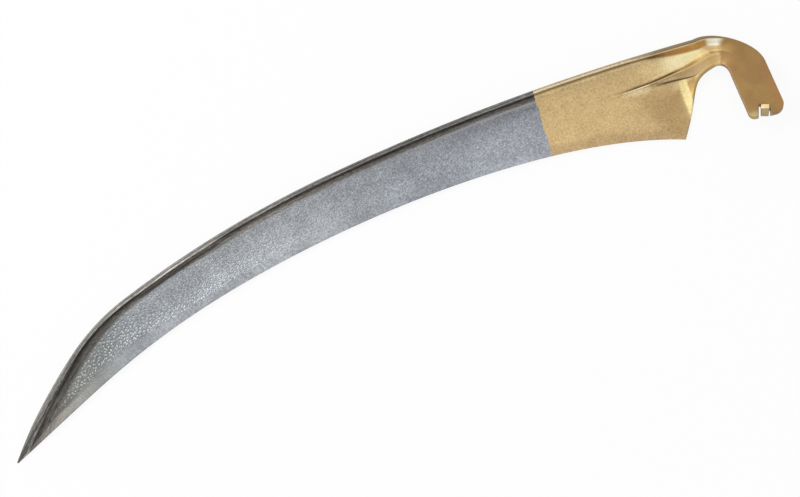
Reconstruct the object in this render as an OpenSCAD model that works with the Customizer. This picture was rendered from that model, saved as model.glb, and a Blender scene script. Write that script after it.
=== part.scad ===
// Blade of a scythe, forged from one bar of steel. It is drawn as the zones a smith names, and
// neighbouring zones share the wall between them, so they meet without a gap.
// Plan: the back leaves the shoulder and runs to the point in the direction -X, the cutting edge lies
// on the -Y side, and the rib stands up in +Z. The finished model has its origin at the tang's seat.

/* [Back] */
// Angle between the back at the shoulder and the line from heel to point
back_fall = 16.6; // [13:0.1:20]
// Length of the nearly straight stretch of the back next to the heel
heel_run = 331; // [280:1:380]
// Radius of that stretch
heel_run_r = 1840; // [1400:10:2600]
// Length of the bowed stretch after it
bow_run = 187.5; // [150:0.5:230]
// Radius of the bowed stretch
bow_run_r = 875; // [700:5:1200]
// Length of the knee, where the back turns down to the point
knee_run = 59; // [45:1:80]
// Radius of the knee
knee_run_r = 176; // [140:1:260]
// Length of the last stretch, from the knee to the point
point_run = 97.5; // [75:0.5:120]
// Radius of the last stretch
point_run_r = 463; // [350:5:900]

/* [Edge] */
// Distance from the shoulder to the beard's corner, along the blade
beard_x = 64.4; // [58:0.2:76]
// Distance from the shoulder to the beard's corner, across the blade
beard_y = 59; // [48:0.2:66]
// Angle at which the edge leaves the beard
edge_heel_angle = 33.5; // [28:0.1:38]
// How far the edge keeps that direction
edge_heel_pull = 172; // [150:1:190]
// How far the edge bows in between beard and point
edge_bow = 54.9; // [50:0.1:68]
// Angle at which the edge reaches the point
edge_point_angle = 11; // [7:0.1:14]
// How far the edge keeps that direction
edge_point_pull = 154; // [130:1:170]
// Width of the hammered-out band along the edge
edge_band = 6.5; // [4:0.1:9]
// Width of the blade's blunt tip
tip_w = 1.2; // [0.8:0.1:2]

/* [Section] */
// Thickness of the web beside the rib
web_t = 2; // [1.5:0.1:2.6]
// Thickness of the web where the edge band starts
band_t = 1; // [0.7:0.05:1.4]
// Thickness of the edge
edge_t = 0.5; // [0.3:0.05:0.7]
// How far the belly stands below the back and the edge
belly = 1.2; // [0.4:0.1:2.5]
// Distance from the back to the foot of the rib, square to the back
rib_w = 6.2; // [5:0.1:7.6]
// The same distance where the solid point starts
rib_w_point = 10; // [7.6:0.1:11]
// Height of the rib at the heel, from the belly
rib_h = 9.5; // [7:0.1:12]
// Height of the rib where the solid point starts
rib_h_point = 6; // [4.5:0.1:8]
// Width of the rib's top
rib_top = 3.5; // [2.4:0.1:4.2]
// Width of the rib's top where the solid point starts
rib_top_point = 4.4; // [3:0.1:5.4]
// Bevel along the rib's top
rib_bevel = 0.5; // [0.2:0.05:0.8]
// Rounding under the rib's foot
rib_round = 1.3; // [0.6:0.1:2]
// Lean of the rib away from the web
rib_lean = 8; // [2:0.5:20]
// Length of the solid point
point_l = 34; // [24:1:50]
// Thickness of the blade's tip
tip_t = 1.4; // [1:0.1:2.4]

/* [Heel] */
// Length of the lacquered heel along the back
lacquer_l = 152; // [135:1:170]
// Where the lacquer's line meets the edge, as a share of the edge
lacquer_share = 0.144; // [0.12:0.002:0.17]
// Distance from the shoulder to the start of the neck, along the back
neck_s = 20; // [17:0.5:24]
// Place on the back across from the beard's corner, from the shoulder
corner_s = 61; // [54:1:68]
// Place where the fold starts to rise, from the shoulder
fold_s = 107; // [92:1:125]
// Height of the fold's crest over the trough, at the neck
fold_h = 5.5; // [3.5:0.1:7]
// Distance from the back to the fold's crest, at the neck
crest_neck = 17.1; // [15:0.1:18.5]
// Distance from the back to the fold's crest, where it starts
crest_start = 25.5; // [22:0.1:29]
// Width of the fold's sides where it starts
fold_start_w = 1.4; // [1:0.1:2]
// Width of the fold's steep side at the neck
fold_steep = 3.4; // [2.4:0.1:4.4]
// Width of the fold's gentle side where it is widest
fold_gentle = 8.2; // [6:0.1:10]
// Place where that side starts to widen, from the shoulder
gentle_s = 61; // [54:1:70]
// Place where that side is widest, from the shoulder
gentle_full_s = 36; // [30:1:42]
// Width of the rib's top at the neck
rib_top_neck = 3.4; // [2.4:0.1:4.6]
// Distance that the rib's foot moves out beside the neck
foot_flare = 3.8; // [2:0.1:5]
// Place where the heel's end starts to turn up as a lip, from the shoulder
lip_s = 46; // [38:1:54]
// Height that the lip reaches at the neck
lip_h = 5.3; // [3.5:0.1:6.5]
// Depth of the hollow beside the lip
hollow = 0.8; // [0:0.1:1.2]
// Distance over which the hollow runs out toward the point
hollow_run = 26; // [16:1:36]
// Distance over which it runs out toward the neck
hollow_end = 8; // [5:0.5:12]
// Width of the rounded rim along the heel's end
rim_w = 2; // [1.4:0.1:3]
// Thickness of the throat's edge at the neck
throat_t = 4; // [3:0.1:5.5]
// Distance from the shoulder to the throat's top, along the blade
throat_x = 16; // [14:0.2:19]
// Distance from the shoulder to the throat's top, across the blade
throat_y = 22; // [20:0.2:24]

/* [Tang] */
// Width of the tang
tang_w = 28.8; // [24:0.1:34]
// Thickness of the tang
tang_t = 5.5; // [4.5:0.1:7]
// Length of the tang's flat part
tang_l = 45; // [42:0.5:56]
// How much shorter the tang is on its inner side than on the outer one
end_skew = 2.1; // [0:0.1:4]
// Rounding of the tang's end on its inner side
end_r_in = 5.1; // [4:0.1:6.4]
// Rounding of the tang's end on its outer side
end_r_out = 8; // [6:0.1:9]
// Angle by which the tang rises from the blade
tang_lift = 18; // [10:0.5:26]
// Angle by which the tang turns in under the blade
tang_turn = 12; // [6:0.5:18]
// Middle of the tang's root from the shoulder, away from the blade
root_x = 5.8; // [2:0.2:8]
// Middle of the tang's root from the shoulder, across the blade
root_y = 35.4; // [33:0.2:40]
// Height of the tang's upper face at its root
root_z = 13.5; // [11.5:0.1:16]

/* [Knob] */
// Width of the knob
knob_w = 6.2; // [5:0.1:8]
// Thickness of the knob's top
knob_t = 3.6; // [2.8:0.1:5]
// Height of the knob over the tang's upper face
knob_h = 7; // [5:0.1:10]
// Angle by which the knob leans outward over its bend
knob_lean = 24; // [0:0.5:26]
// Slope of the knob's outer face
knob_slope = 6; // [0:0.5:10]
// Bevel along the knob's top
knob_bevel = 0.4; // [0.2:0.1:0.8]
// Angle by which the knob and its slot turn to the inner side
knob_turn = 21.4; // [0:0.1:24]
// Slit on the knob's inner side
slit_in = 1.5; // [0.8:0.1:2]
// Slit on its outer side
slit_out = 1; // [0.6:0.1:3]
// How much farther out the outer slit starts
slit_skew = 3.5; // [0.5:0.1:5]
// Length of the slot that the knob is bent up from, along the tang's middle
slot_l = 9.5; // [8:0.5:12]

/* [Hidden] */
$fn = 48;
BLUE_STEEL = [0.60, 0.61, 0.63];
DARK_STEEL = [0.34, 0.33, 0.32];
BRIGHT_EDGE = [0.65, 0.66, 0.67];
GOLD = [0.82, 0.70, 0.49];
DARK_GOLD = [0.66, 0.52, 0.33];

// Columns of a section, counted from the rib's top to the edge.
RIB_TOP = 0;
RIB_LOW = 4;
FOOT = 5;
STEEP_FOOT = 7;
CREST = 8;
FOLD_LOW = 10;
BAND = 14;
EDGE = 15;

// Where the edge's middle control point lies, as a share of the way from beard to point.
EDGE_BOW_SHARE = 0.75;
// Directions of the heel's end edge at the beard and at the throat, and how far it keeps them.
HEEL_END_ANGLE = 42;
THROAT_ANGLE = 1;
HEEL_END_PULL = 43;
THROAT_PULL = 23;
// The same for the neck's outer and inner sides: each leaves the heel and reaches the tang.
NECK_OUT_ANGLE = 2;
NECK_OUT_HEEL_PULL = 18;
NECK_OUT_TANG_PULL = 17;
NECK_IN_HEEL_PULL = 8;
NECK_IN_TANG_PULL = 6;
// Share of the neck over which the trough runs out.
TROUGH_END = 0.6;
// Length of the cut that opens the slot through the tang's end.
SLOT_CUT = 20;
// Steps between sections, from the point to the tang.
POINT_STEPS = 8;
BARE_STEPS = 50;
PLATE_STEPS = 6;
FOLD_STEPS = 8;
LIP_STEPS = 4;
END_STEPS = 8;
NECK_STEPS = 16;

// Largest shares of the blade's width for the rib and the edge band, where the blade is narrow, and
// of the rib's width for its top and for its lean.
FOOT_SHARE = 0.42;
BAND_SHARE = 0.3;
RIB_TOP_SHARE = 0.6;
LEAN_SHARE = 0.3;
// Share of the foot's flare that the rib's inner wall takes up.
WALL_FLARE = 0.75;
// Exponents of the fold's rise and of its crest's swing to the back: both start slowly.
FOLD_RISE = 1.2;
CREST_SWING = 3.4;
// Height of the gentle side's middle, as a share of the way down from the crest.
GENTLE_MIDDLE = 0.55;
// Bends of the rib's walls, as [share of the lean, share of the height].
OUTER_BENDS = [[0.5, 0.5], [1, 0.9]];
INNER_BENDS = [[0.45, 0.55], [0.8, 0.2], [1, 0.05]];
// Where the last of the inner bends lies between the wall and the rib's foot.
INNER_FOOT = 0.4;

back_arcs = [[heel_run, heel_run_r], [bow_run, bow_run_r], [knee_run, knee_run_r],
             [point_run, point_run_r]];
back_l = heel_run + bow_run + knee_run + point_run;
point_s = back_l - point_l;
knob_y = tang_l - slot_l;
seat_y = knob_y / 2;

function mix(a, b, t) = a + (b - a) * t;
function clamp(t) = max(0, min(1, t));
function smooth(t) = let (c = clamp(t)) c * c * (3 - 2 * c);
function heading(a) = [cos(a), sin(a)];
function span(a, b, n) = [for (i = [0:n]) mix(a, b, i / n)];
function bezier(p, t) =
    len(p) == 1 ? p[0] : bezier([for (i = [0:len(p) - 2]) mix(p[i], p[i + 1], t)], t);

// Place and heading after a length of an arc, from [x, y, heading].
function arc_step(from, length, radius) =
    let (turn = length / radius * 180 / PI, chord = 2 * radius * sin(turn / 2),
         way = chord * heading(from.z + turn / 2))
    [from.x + way.x, from.y + way.y, from.z + turn];
function along(arcs, from, s, i = 0) =
    s <= arcs[i][0] || i == len(arcs) - 1
        ? arc_step(from, s, arcs[i][1])
        : along(arcs, arc_step(from, arcs[i][0], arcs[i][1]), s - arcs[i][0], i + 1);

// Outline in plan. The place s is a length along the back from the shoulder.
function back_pose(s) = along(back_arcs, [0, 0, 180 - back_fall], s);
function back_at(s) = let (p = back_pose(s)) [p.x, p.y];
beard = [-beard_x, -beard_y];
throat = [-throat_x, -throat_y];
tip_pose = back_pose(back_l);
edge_tip = [tip_pose.x, tip_pose.y] + tip_w * heading(tip_pose.z + 90);
edge_points = [
    beard,
    beard + edge_heel_pull * heading(180 - edge_heel_angle),
    mix(beard, edge_tip, EDGE_BOW_SHARE) + edge_bow * heading(90),
    edge_tip + edge_point_pull * heading(edge_point_angle),
    edge_tip
];
heel_end_points = [
    throat,
    throat + THROAT_PULL * heading(180 - THROAT_ANGLE),
    beard + HEEL_END_PULL * heading(HEEL_END_ANGLE),
    beard
];
function edge_share(s) =
    s < lacquer_l
        ? lacquer_share * (s - corner_s) / (lacquer_l - corner_s)
        : mix(lacquer_share, 1, (s - lacquer_l) / (back_l - lacquer_l));
function edge_at(s) =
    s < corner_s
        ? bezier(heel_end_points, (s - neck_s) / (corner_s - neck_s))
        : bezier(edge_points, edge_share(s));

// Share of a step along a section that leads away from the back.
function square_at(s) =
    let (pose = back_pose(s), across = edge_at(s) - [pose.x, pose.y])
    across * heading(pose.z + 90) / norm(across);

// Sizes of the section at a place s, where w is the blade's width there.
function near_neck(s) = clamp((corner_s - s) / (corner_s - neck_s));
function to_point(s) = clamp((s - heel_run) / (point_s - heel_run));
function in_point(s) = clamp((s - point_s) / point_l);
function flare_at(s) = foot_flare * sin(90 * near_neck(s));
function foot_at(s, w) =
    min(mix(rib_w, rib_w_point, to_point(s)) / square_at(s) + flare_at(s), w * FOOT_SHARE);
function band_at(s, w) =
    min(mix(edge_band, rim_w, smooth((corner_s + edge_band - s) / (2 * edge_band))), w * BAND_SHARE);
function rib_h_at(s) = mix(mix(rib_h, rib_h_point, to_point(s)), tip_t, in_point(s));
function rib_top_at(s, foot) =
    min(mix(mix(rib_top, rib_top_point, to_point(s)), rib_top_neck, pow(near_neck(s), 2))
            / square_at(s),
        foot * RIB_TOP_SHARE);
function belly_at(q) = belly * pow(2 * q - 1, 2);
function thin(s) = mix(1, tip_t / (2 * web_t), in_point(s));

// Fold, trough and lip: their sizes fade out away from the neck.
function fold_way(s) = clamp((fold_s - s) / (fold_s - neck_s));
function crest_at(s) = mix(crest_start, crest_neck, pow(fold_way(s), CREST_SWING));
function steep_at(s) = mix(fold_start_w, fold_steep, fold_way(s));
function gentle_way(s) = clamp((gentle_s - s) / (gentle_s - gentle_full_s));
function gentle_at(s, w) =
    min(mix(fold_start_w, fold_gentle, gentle_way(s)), w - band_at(s, w) - crest_at(s) - rim_w / 2);
function lip_way(s) = clamp((lip_s - s) / (lip_s - neck_s));
function lip_at(s) = lip_h * lip_way(s);
function hollow_way(s) = s > lip_s ? (s - lip_s) / hollow_run : (lip_s - s) / hollow_end;
function hollow_at(s, k) =
    hollow * sin(180 * clamp((k - FOLD_LOW) / (BAND - FOLD_LOW))) * smooth(1 - hollow_way(s));
function raise_at(s, k) =
    k <= STEEP_FOOT ? 0
    : k == CREST ? fold_h * pow(fold_way(s), FOLD_RISE)
    : k < FOLD_LOW ? mix(raise_at(s, CREST), raise_at(s, FOLD_LOW), GENTLE_MIDDLE)
    : lip_at(s) - hollow_at(s, k);
function under_at(s, k) =
    let (full = lip_at(s) - (throat_t - edge_t) * pow(lip_way(s), 2))
    k <= STEEP_FOOT ? 0 : mix(0, full, clamp((k - STEEP_FOOT) / (FOLD_LOW - STEEP_FOOT)))
        - hollow_at(s, k);

// Distance of a column from the back.
function heel_column(s, w, foot, k) =
    let (crest = crest_at(s), steep = crest - steep_at(s), low = crest + gentle_at(s, w),
         band = w - band_at(s, w))
    k <= STEEP_FOOT ? mix(foot, steep, (k - FOOT) / (STEEP_FOOT - FOOT))
    : k == CREST ? crest
    : k <= FOLD_LOW ? mix(crest, low, (k - CREST) / (FOLD_LOW - CREST))
    : mix(low, band, (k - FOLD_LOW) / (BAND - FOLD_LOW));
function column(s, w, foot, k) =
    k == EDGE ? w
    : mix(mix(foot, w - band_at(s, w), (k - FOOT) / (BAND - FOOT)), heel_column(s, w, foot, k),
          smooth((lacquer_l - s) / (lacquer_l - fold_s)));

// A section as a strip of pairs: each pair has a point of the back and underside, and one of the
// front and upper side, as [distance from the back, height].
function web_pair(s, w, foot, k) =
    let (d = column(s, w, foot, k), q = (d - foot) / (w - foot),
         bottom = belly_at(q) * thin(s) + under_at(s, k),
         share = clamp((d - foot) / (w - band_at(s, w) - foot)),
         t = (k == EDGE ? edge_t : mix(web_t, band_t, share)) * thin(s),
         top = belly_at(q) * thin(s) + t + raise_at(s, k))
    [[d, bottom], [d, top]];
function rib_pairs(s, w, foot) =
    let (h = rib_h_at(s), grow = foot / rib_w, top = rib_top_at(s, foot),
         wall = web_pair(s, w, foot, FOOT), low = wall[0].y, high = wall[1].y,
         lean = min((h - high) * tan(rib_lean) / square_at(s), foot * LEAN_SHARE),
         slope = lean + flare_at(s) * WALL_FLARE,
         bevel = min(rib_bevel * grow, (h - high) / 4),
         outer = [for (b = OUTER_BENDS) [lean * b[0], mix(low, h, 1 - b[1])]],
         inner = [for (b = INNER_BENDS) [top + slope * b[0], mix(high, h, b[1])]])
    [[[bevel, h], [top - bevel, h]],
     [[0, h - bevel], [top, h - bevel]],
     [outer[0], inner[0]],
     [outer[1], inner[1]],
     [[lean + rib_round * grow, mix(low, high, 0.1)],
      [mix(inner[1].x, foot, INNER_FOOT), inner[2].y]]];
function flat_section(s) =
    let (w = norm(edge_at(s) - back_at(s)), foot = foot_at(s, w))
    concat(rib_pairs(s, w, foot), [for (k = [FOOT:EDGE]) web_pair(s, w, foot, k)]);
function section(s) =
    let (start = back_at(s), across = edge_at(s) - start, way = across / norm(across))
    [for (pair = flat_section(s))
        [for (p = pair) [start.x + p.x * way.x, start.y + p.x * way.y, p.y]]];

// Tang: its own plane has +x outward, +y back to the neck and z = 0 on the upper face.
module in_tang() translate([root_x, -root_y, root_z]) rotate([-tang_lift, 0, -tang_turn]) children();
function tang_point(p) =
    let (y = p.y * cos(tang_lift) + p.z * sin(tang_lift))
    [root_x + p.x * cos(tang_turn) + y * sin(tang_turn),
     -root_y - p.x * sin(tang_turn) + y * cos(tang_turn),
     root_z - p.y * sin(tang_lift) + p.z * cos(tang_lift)];
seat = tang_point([0, -seat_y, 0]);

// Neck: a share u = 0 is the heel's last section and u = 1 the tang's root.
root_out = tang_point([tang_w / 2, 0, 0]);
root_in = tang_point([-tang_w / 2, 0, 0]);
tang_way = heading(90 - tang_turn);
neck_out = [
    back_at(neck_s),
    back_at(neck_s) + NECK_OUT_HEEL_PULL * heading(-NECK_OUT_ANGLE),
    [root_out.x, root_out.y] + NECK_OUT_TANG_PULL * tang_way,
    [root_out.x, root_out.y]
];
neck_in = [
    throat,
    throat + NECK_IN_HEEL_PULL * heading(-THROAT_ANGLE),
    [root_in.x, root_in.y] + NECK_IN_TANG_PULL * tang_way,
    [root_in.x, root_in.y]
];
// Place of a column on the root's rectangle, as [share across, depth under the upper face].
function root_pair(k) =
    [k <= RIB_LOW ? [0, -tang_t * k / RIB_LOW] : [(k - RIB_LOW) / (EDGE - RIB_LOW), -tang_t],
     [(k + 0.5) / (EDGE + 0.5), 0]];
function neck_point(u, start, end, w, lid, fade) =
    let (from = start.x / w, f = mix(from, end.x, smooth(u)), top = mix(lid[0], lid[1], from),
         plan = mix(bezier(neck_out, u), bezier(neck_in, u), f)
             + end.y * sin(tang_lift) * smooth(u) * tang_way,
         pull = 3 * mix(NECK_OUT_TANG_PULL, NECK_IN_TANG_PULL, f) * tan(tang_lift),
         rise = mix(top, root_z, smooth(u)) + (pow(u, 3) - pow(u, 2)) * pull,
         depth = mix(start.y - top, end.y * cos(tang_lift), smooth(fade)))
    [plan.x, plan.y, rise + depth];
function neck_section(u) =
    let (flat = flat_section(neck_s), w = flat[EDGE][0].x, lid = [rib_h, flat[EDGE][1].y])
    [for (k = [0:EDGE])
        [neck_point(u, flat[k][0], root_pair(k)[0], w, lid, u),
         neck_point(u, flat[k][1], root_pair(k)[1], w, lid, u / TROUGH_END)]];

// Solid through sections, over the columns from k0 to k1.
module skin(sections, k0, k1) {
    m = k1 - k0 + 1;
    n = len(sections);
    function at(i, k, side) = (i * m + k) * 2 + side;
    function quad(a, b, c, d) = [[a, b, d], [b, c, d]];
    points = [for (part = sections, k = [k0:k1], side = [0, 1]) part[k][side]];
    faces = [
        for (i = [0:n - 2], k = [0:m - 2], f = concat(
            quad(at(i, k, 0), at(i, k + 1, 0), at(i + 1, k + 1, 0), at(i + 1, k, 0)),
            quad(at(i, k, 1), at(i + 1, k, 1), at(i + 1, k + 1, 1), at(i, k + 1, 1)))) f,
        for (i = [0:n - 2], f = concat(
            quad(at(i, 0, 0), at(i + 1, 0, 0), at(i + 1, 0, 1), at(i, 0, 1)),
            quad(at(i + 1, m - 1, 0), at(i, m - 1, 0), at(i, m - 1, 1), at(i + 1, m - 1, 1)))) f,
        for (k = [0:m - 2], f = concat(
            quad(at(0, k + 1, 0), at(0, k, 0), at(0, k, 1), at(0, k + 1, 1)),
            quad(at(n - 1, k, 0), at(n - 1, k + 1, 0), at(n - 1, k + 1, 1), at(n - 1, k, 1)))) f
    ];
    translate(-seat) polyhedron(points, faces);
}
module zone(places, k0, k1) skin([for (s = places) section(s)], k0, k1);

// Places of the sections. The same lists are used on both sides of every shared wall.
bare_places = span(lacquer_l, point_s, BARE_STEPS);
point_places = span(point_s, back_l, POINT_STEPS);
plate_places = span(fold_s, lacquer_l, PLATE_STEPS);
mid_places = [for (s = span(corner_s, fold_s, FOLD_STEPS)) if (s < fold_s) s];
lip_places = [for (s = span(lip_s, corner_s, LIP_STEPS)) if (s < corner_s) s];
end_places = [for (s = span(neck_s, lip_s, END_STEPS)) if (s < lip_s) s];
fold_places = concat(end_places, lip_places, mid_places, [fold_s]);
heel_places = concat(end_places, lip_places, mid_places, plate_places);

module point() color(DARK_STEEL) zone(point_places, RIB_TOP, EDGE);
module edge() color(BRIGHT_EDGE) zone(bare_places, BAND, EDGE);
module web() color(BLUE_STEEL) zone(bare_places, FOOT, BAND);
module rib() color(DARK_STEEL) zone(bare_places, RIB_TOP, FOOT);
module heel_rib() color(GOLD) zone(heel_places, RIB_TOP, FOOT);
module heel_plate() color(GOLD) zone(plate_places, FOOT, BAND);
module trough() color(GOLD) zone(fold_places, FOOT, CREST);
module fold() color(GOLD) zone(fold_places, CREST, FOLD_LOW);
module beard() color(GOLD) zone(fold_places, FOLD_LOW, BAND);
module heel_edge() color(GOLD) zone(heel_places, BAND, EDGE);
module neck() color(DARK_GOLD)
    skin([for (u = span(0, 1, NECK_STEPS)) neck_section(u)], RIB_TOP, EDGE);

// The tang's end: its two roundings and the straight line that touches both.
end_in = [end_r_in - tang_w / 2, end_skew + end_r_in - tang_l];
end_out = [tang_w / 2 - end_r_out, end_r_out - tang_l];
end_way = end_out - end_in;
end_tilt = atan2(end_way.y, end_way.x) - asin((end_r_out - end_r_in) / norm(end_way));
end_side = heading(end_tilt - 90);

// Frame of the slot: the origin is the middle of its closed end, and -y runs out through the open one.
module at_slot() translate([0, -knob_y, 0]) rotate([0, 0, -knob_turn]) children();

module slot_outline() {
    translate([-knob_w / 2 - slit_in, -SLOT_CUT]) square([slit_in + knob_w, SLOT_CUT]);
    translate([0, -slit_skew - SLOT_CUT]) square([knob_w / 2 + slit_out, SLOT_CUT]);
}
module tang_outline() difference() {
    union() {
        polygon([[-tang_w / 2, 0], [-tang_w / 2, end_in.y], end_in + end_r_in * end_side,
                 end_out + end_r_out * end_side, [tang_w / 2, end_out.y], [tang_w / 2, 0]]);
        translate(end_in) circle(r = end_r_in);
        translate(end_out) circle(r = end_r_out);
    }
    at_slot() slot_outline();
}
module tang() color(DARK_GOLD) translate(-seat) in_tang()
    translate([0, 0, -tang_t]) linear_extrude(tang_t) tang_outline();

// Knob: the tongue between the two slits, bent up at the slot's end.
module knob_profile() {
    back = knob_h * tan(knob_lean);
    front = back + knob_t;
    foot = front + (knob_h + tang_t) * tan(knob_slope);
    polygon([[0, -tang_t], [0, 0], [back - knob_bevel * tan(knob_lean), knob_h - knob_bevel],
             [back + knob_bevel, knob_h], [front - knob_bevel, knob_h],
             [front + knob_bevel * tan(knob_slope), knob_h - knob_bevel], [foot, -tang_t]]);
}
module knob() color(DARK_GOLD) translate(-seat) in_tang() at_slot()
    translate([-knob_w / 2, 0, 0]) rotate([90, 0, 90]) linear_extrude(knob_w)
    mirror([1, 0]) knob_profile();

point();
edge();
web();
rib();
heel_rib();
heel_plate();
trough();
fold();
beard();
heel_edge();
neck();
tang();
knob();
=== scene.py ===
import math

import bmesh
import bpy
import numpy as np
from mathutils import Matrix, Vector


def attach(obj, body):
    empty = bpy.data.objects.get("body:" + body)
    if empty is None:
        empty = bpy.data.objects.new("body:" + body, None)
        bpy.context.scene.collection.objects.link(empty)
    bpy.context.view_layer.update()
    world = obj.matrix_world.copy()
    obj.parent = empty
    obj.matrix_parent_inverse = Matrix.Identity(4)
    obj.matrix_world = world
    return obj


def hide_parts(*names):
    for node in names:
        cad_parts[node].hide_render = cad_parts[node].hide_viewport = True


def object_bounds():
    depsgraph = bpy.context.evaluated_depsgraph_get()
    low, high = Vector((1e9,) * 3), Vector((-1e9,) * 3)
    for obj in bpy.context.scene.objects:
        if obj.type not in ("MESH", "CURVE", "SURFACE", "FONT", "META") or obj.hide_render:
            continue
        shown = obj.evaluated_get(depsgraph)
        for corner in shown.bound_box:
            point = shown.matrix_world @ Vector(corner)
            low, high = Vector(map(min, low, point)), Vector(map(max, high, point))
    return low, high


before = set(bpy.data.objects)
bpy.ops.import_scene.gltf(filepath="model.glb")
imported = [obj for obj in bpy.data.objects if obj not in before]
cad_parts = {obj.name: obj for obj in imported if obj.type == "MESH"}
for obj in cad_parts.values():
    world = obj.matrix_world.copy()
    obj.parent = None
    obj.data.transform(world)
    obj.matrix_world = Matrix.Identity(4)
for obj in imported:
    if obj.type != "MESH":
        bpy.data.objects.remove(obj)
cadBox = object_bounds()
print("frame loaded")

mm = 0.001


def mix(a, b, t):
    return a + (b - a) * t


def clamp(t):
    return max(0.0, min(1.0, t))


def smooth(t):
    t = clamp(t)
    return t * t * (3 - 2 * t)


def heading(degrees):
    angle = math.radians(degrees)
    return np.array([math.cos(angle), math.sin(angle)])


def bezier(points, t):
    while len(points) > 1:
        points = [mix(a, b, t) for a, b in zip(points, points[1:])]
    return points[0]


# The blade in plan, in millimetres from the shoulder. Runs are (length, radius).
plan = {
    "backFall": 16.6,
    "backRuns": [(331, 1840), (187.5, 875), (59, 176), (97.5, 463)],
    "beard": (-64.4, -59),
    "throat": (-16, -22),
    "tipWidth": 1.2,
    "edgeHeelAngle": 33.5,
    "edgeHeelPull": 172,
    "edgeBow": 54.9,
    "edgeBowShare": 0.75,
    "edgePointAngle": 11,
    "edgePointPull": 154,
    "heelEndAngle": 42,
    "heelEndPull": 43,
    "throatAngle": 1,
    "throatPull": 23,
    "cornerPlace": 61,
    "neckPlace": 20,
    "lacquerPlace": 152,
    "lacquerShare": 0.144,
    "pointLength": 34,
}


def backPose(s):
    place, angle = np.zeros(2), 180 - plan["backFall"]
    for number, (length, radius) in enumerate(plan["backRuns"]):
        last = number == len(plan["backRuns"]) - 1
        step = s if last else min(s, length)
        turn = math.degrees(step / radius)
        chord = 2 * radius * math.sin(math.radians(turn / 2))
        place = place + chord * heading(angle + turn / 2)
        angle += turn
        s -= step
        if s <= 0:
            break
    return place, angle


backLength = sum(length for length, radius in plan["backRuns"])
pointPlace = backLength - plan["pointLength"]
beard, throat = np.array(plan["beard"], float), np.array(plan["throat"], float)
tipPlace, tipAngle = backPose(backLength)
edgeTip = tipPlace + plan["tipWidth"] * heading(tipAngle + 90)
edgeCurve = [
    beard,
    beard + plan["edgeHeelPull"] * heading(180 - plan["edgeHeelAngle"]),
    mix(beard, edgeTip, plan["edgeBowShare"]) + plan["edgeBow"] * heading(90),
    edgeTip + plan["edgePointPull"] * heading(plan["edgePointAngle"]),
    edgeTip,
]
heelEndCurve = [
    throat,
    throat + plan["throatPull"] * heading(180 - plan["throatAngle"]),
    beard + plan["heelEndPull"] * heading(plan["heelEndAngle"]),
    beard,
]


def edgeAt(s):
    corner, line = plan["cornerPlace"], plan["lacquerPlace"]
    if s < corner:
        return bezier(heelEndCurve, (s - plan["neckPlace"]) / (corner - plan["neckPlace"]))
    if s < line:
        share = plan["lacquerShare"] * (s - corner) / (line - corner)
    else:
        share = mix(plan["lacquerShare"], 1, (s - line) / (backLength - line))
    return bezier(edgeCurve, share)


# Where a section starts on the back, the step along it, and its width.
def station(s):
    start = backPose(s)[0]
    way = edgeAt(s) - start
    width = np.linalg.norm(way)
    return start, way / width, width


# How much of a step along a section leads away from the back, and how much along it.
def crossing(s):
    way, angle = station(s)[1], backPose(s)[1]
    return way @ heading(angle + 90), way @ heading(angle)


# The blade's section, also in millimetres.
section = {
    "edgeBand": 6.5,
    "rimWidth": 2,
    "webThickness": 2,
    "bandThickness": 1,
    "edgeThickness": 0.5,
    "tipThickness": 1.4,
    "belly": 1.2,
    "ribWidth": 6.2,
    "ribWidthPoint": 10,
    "ribHeight": 9.5,
    "ribHeightPoint": 6,
    "ribTop": 3.5,
    "ribTopPoint": 4.4,
    "ribTopNeck": 3.4,
    "ribBevel": 0.5,
    "ribRound": 1.3,
    "ribLean": 8,
    "footFlare": 3.8,
    "wallFlare": 0.75,
    # the most that each may be: foot and band of the width, rib's top and lean of the foot
    "footMost": 0.42,
    "bandMost": 0.3,
    "topMost": 0.6,
    "leanMost": 0.3,
    # the rib's walls from the top down, as (share of the slope, share of the height left)
    "outerWall": [(0.5, 0.5), (1, 0.1)],
    "innerWall": [(0.45, 0.55), (0.8, 0.2), (1, 0.05)],
    "roundRise": 0.1,
    "wallRun": 0.4,
}

# The heel's fold, trough, hollow and lip.
heel = {
    "foldPlace": 107,
    "foldHeight": 5.5,
    "foldBend": 1.2,
    "flankShare": 0.55,
    "crestNeck": 17.1,
    "crestStart": 25.5,
    "crestBend": 3.4,
    "startWidth": 1.4,
    "steepWidth": 3.4,
    "gentleWidth": 8.2,
    "gentlePlace": 61,
    "gentleFull": 36,
    "lipPlace": 46,
    "lipHeight": 5.3,
    "hollow": 0.8,
    "hollowRun": 26,
    "hollowEnd": 8,
    "throatThickness": 4,
}

# Columns of a section, from the rib's top to the edge.
footColumn, steepColumn, crestColumn, lowColumn, bandColumn, edgeColumn = 5, 7, 8, 10, 14, 15


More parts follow.
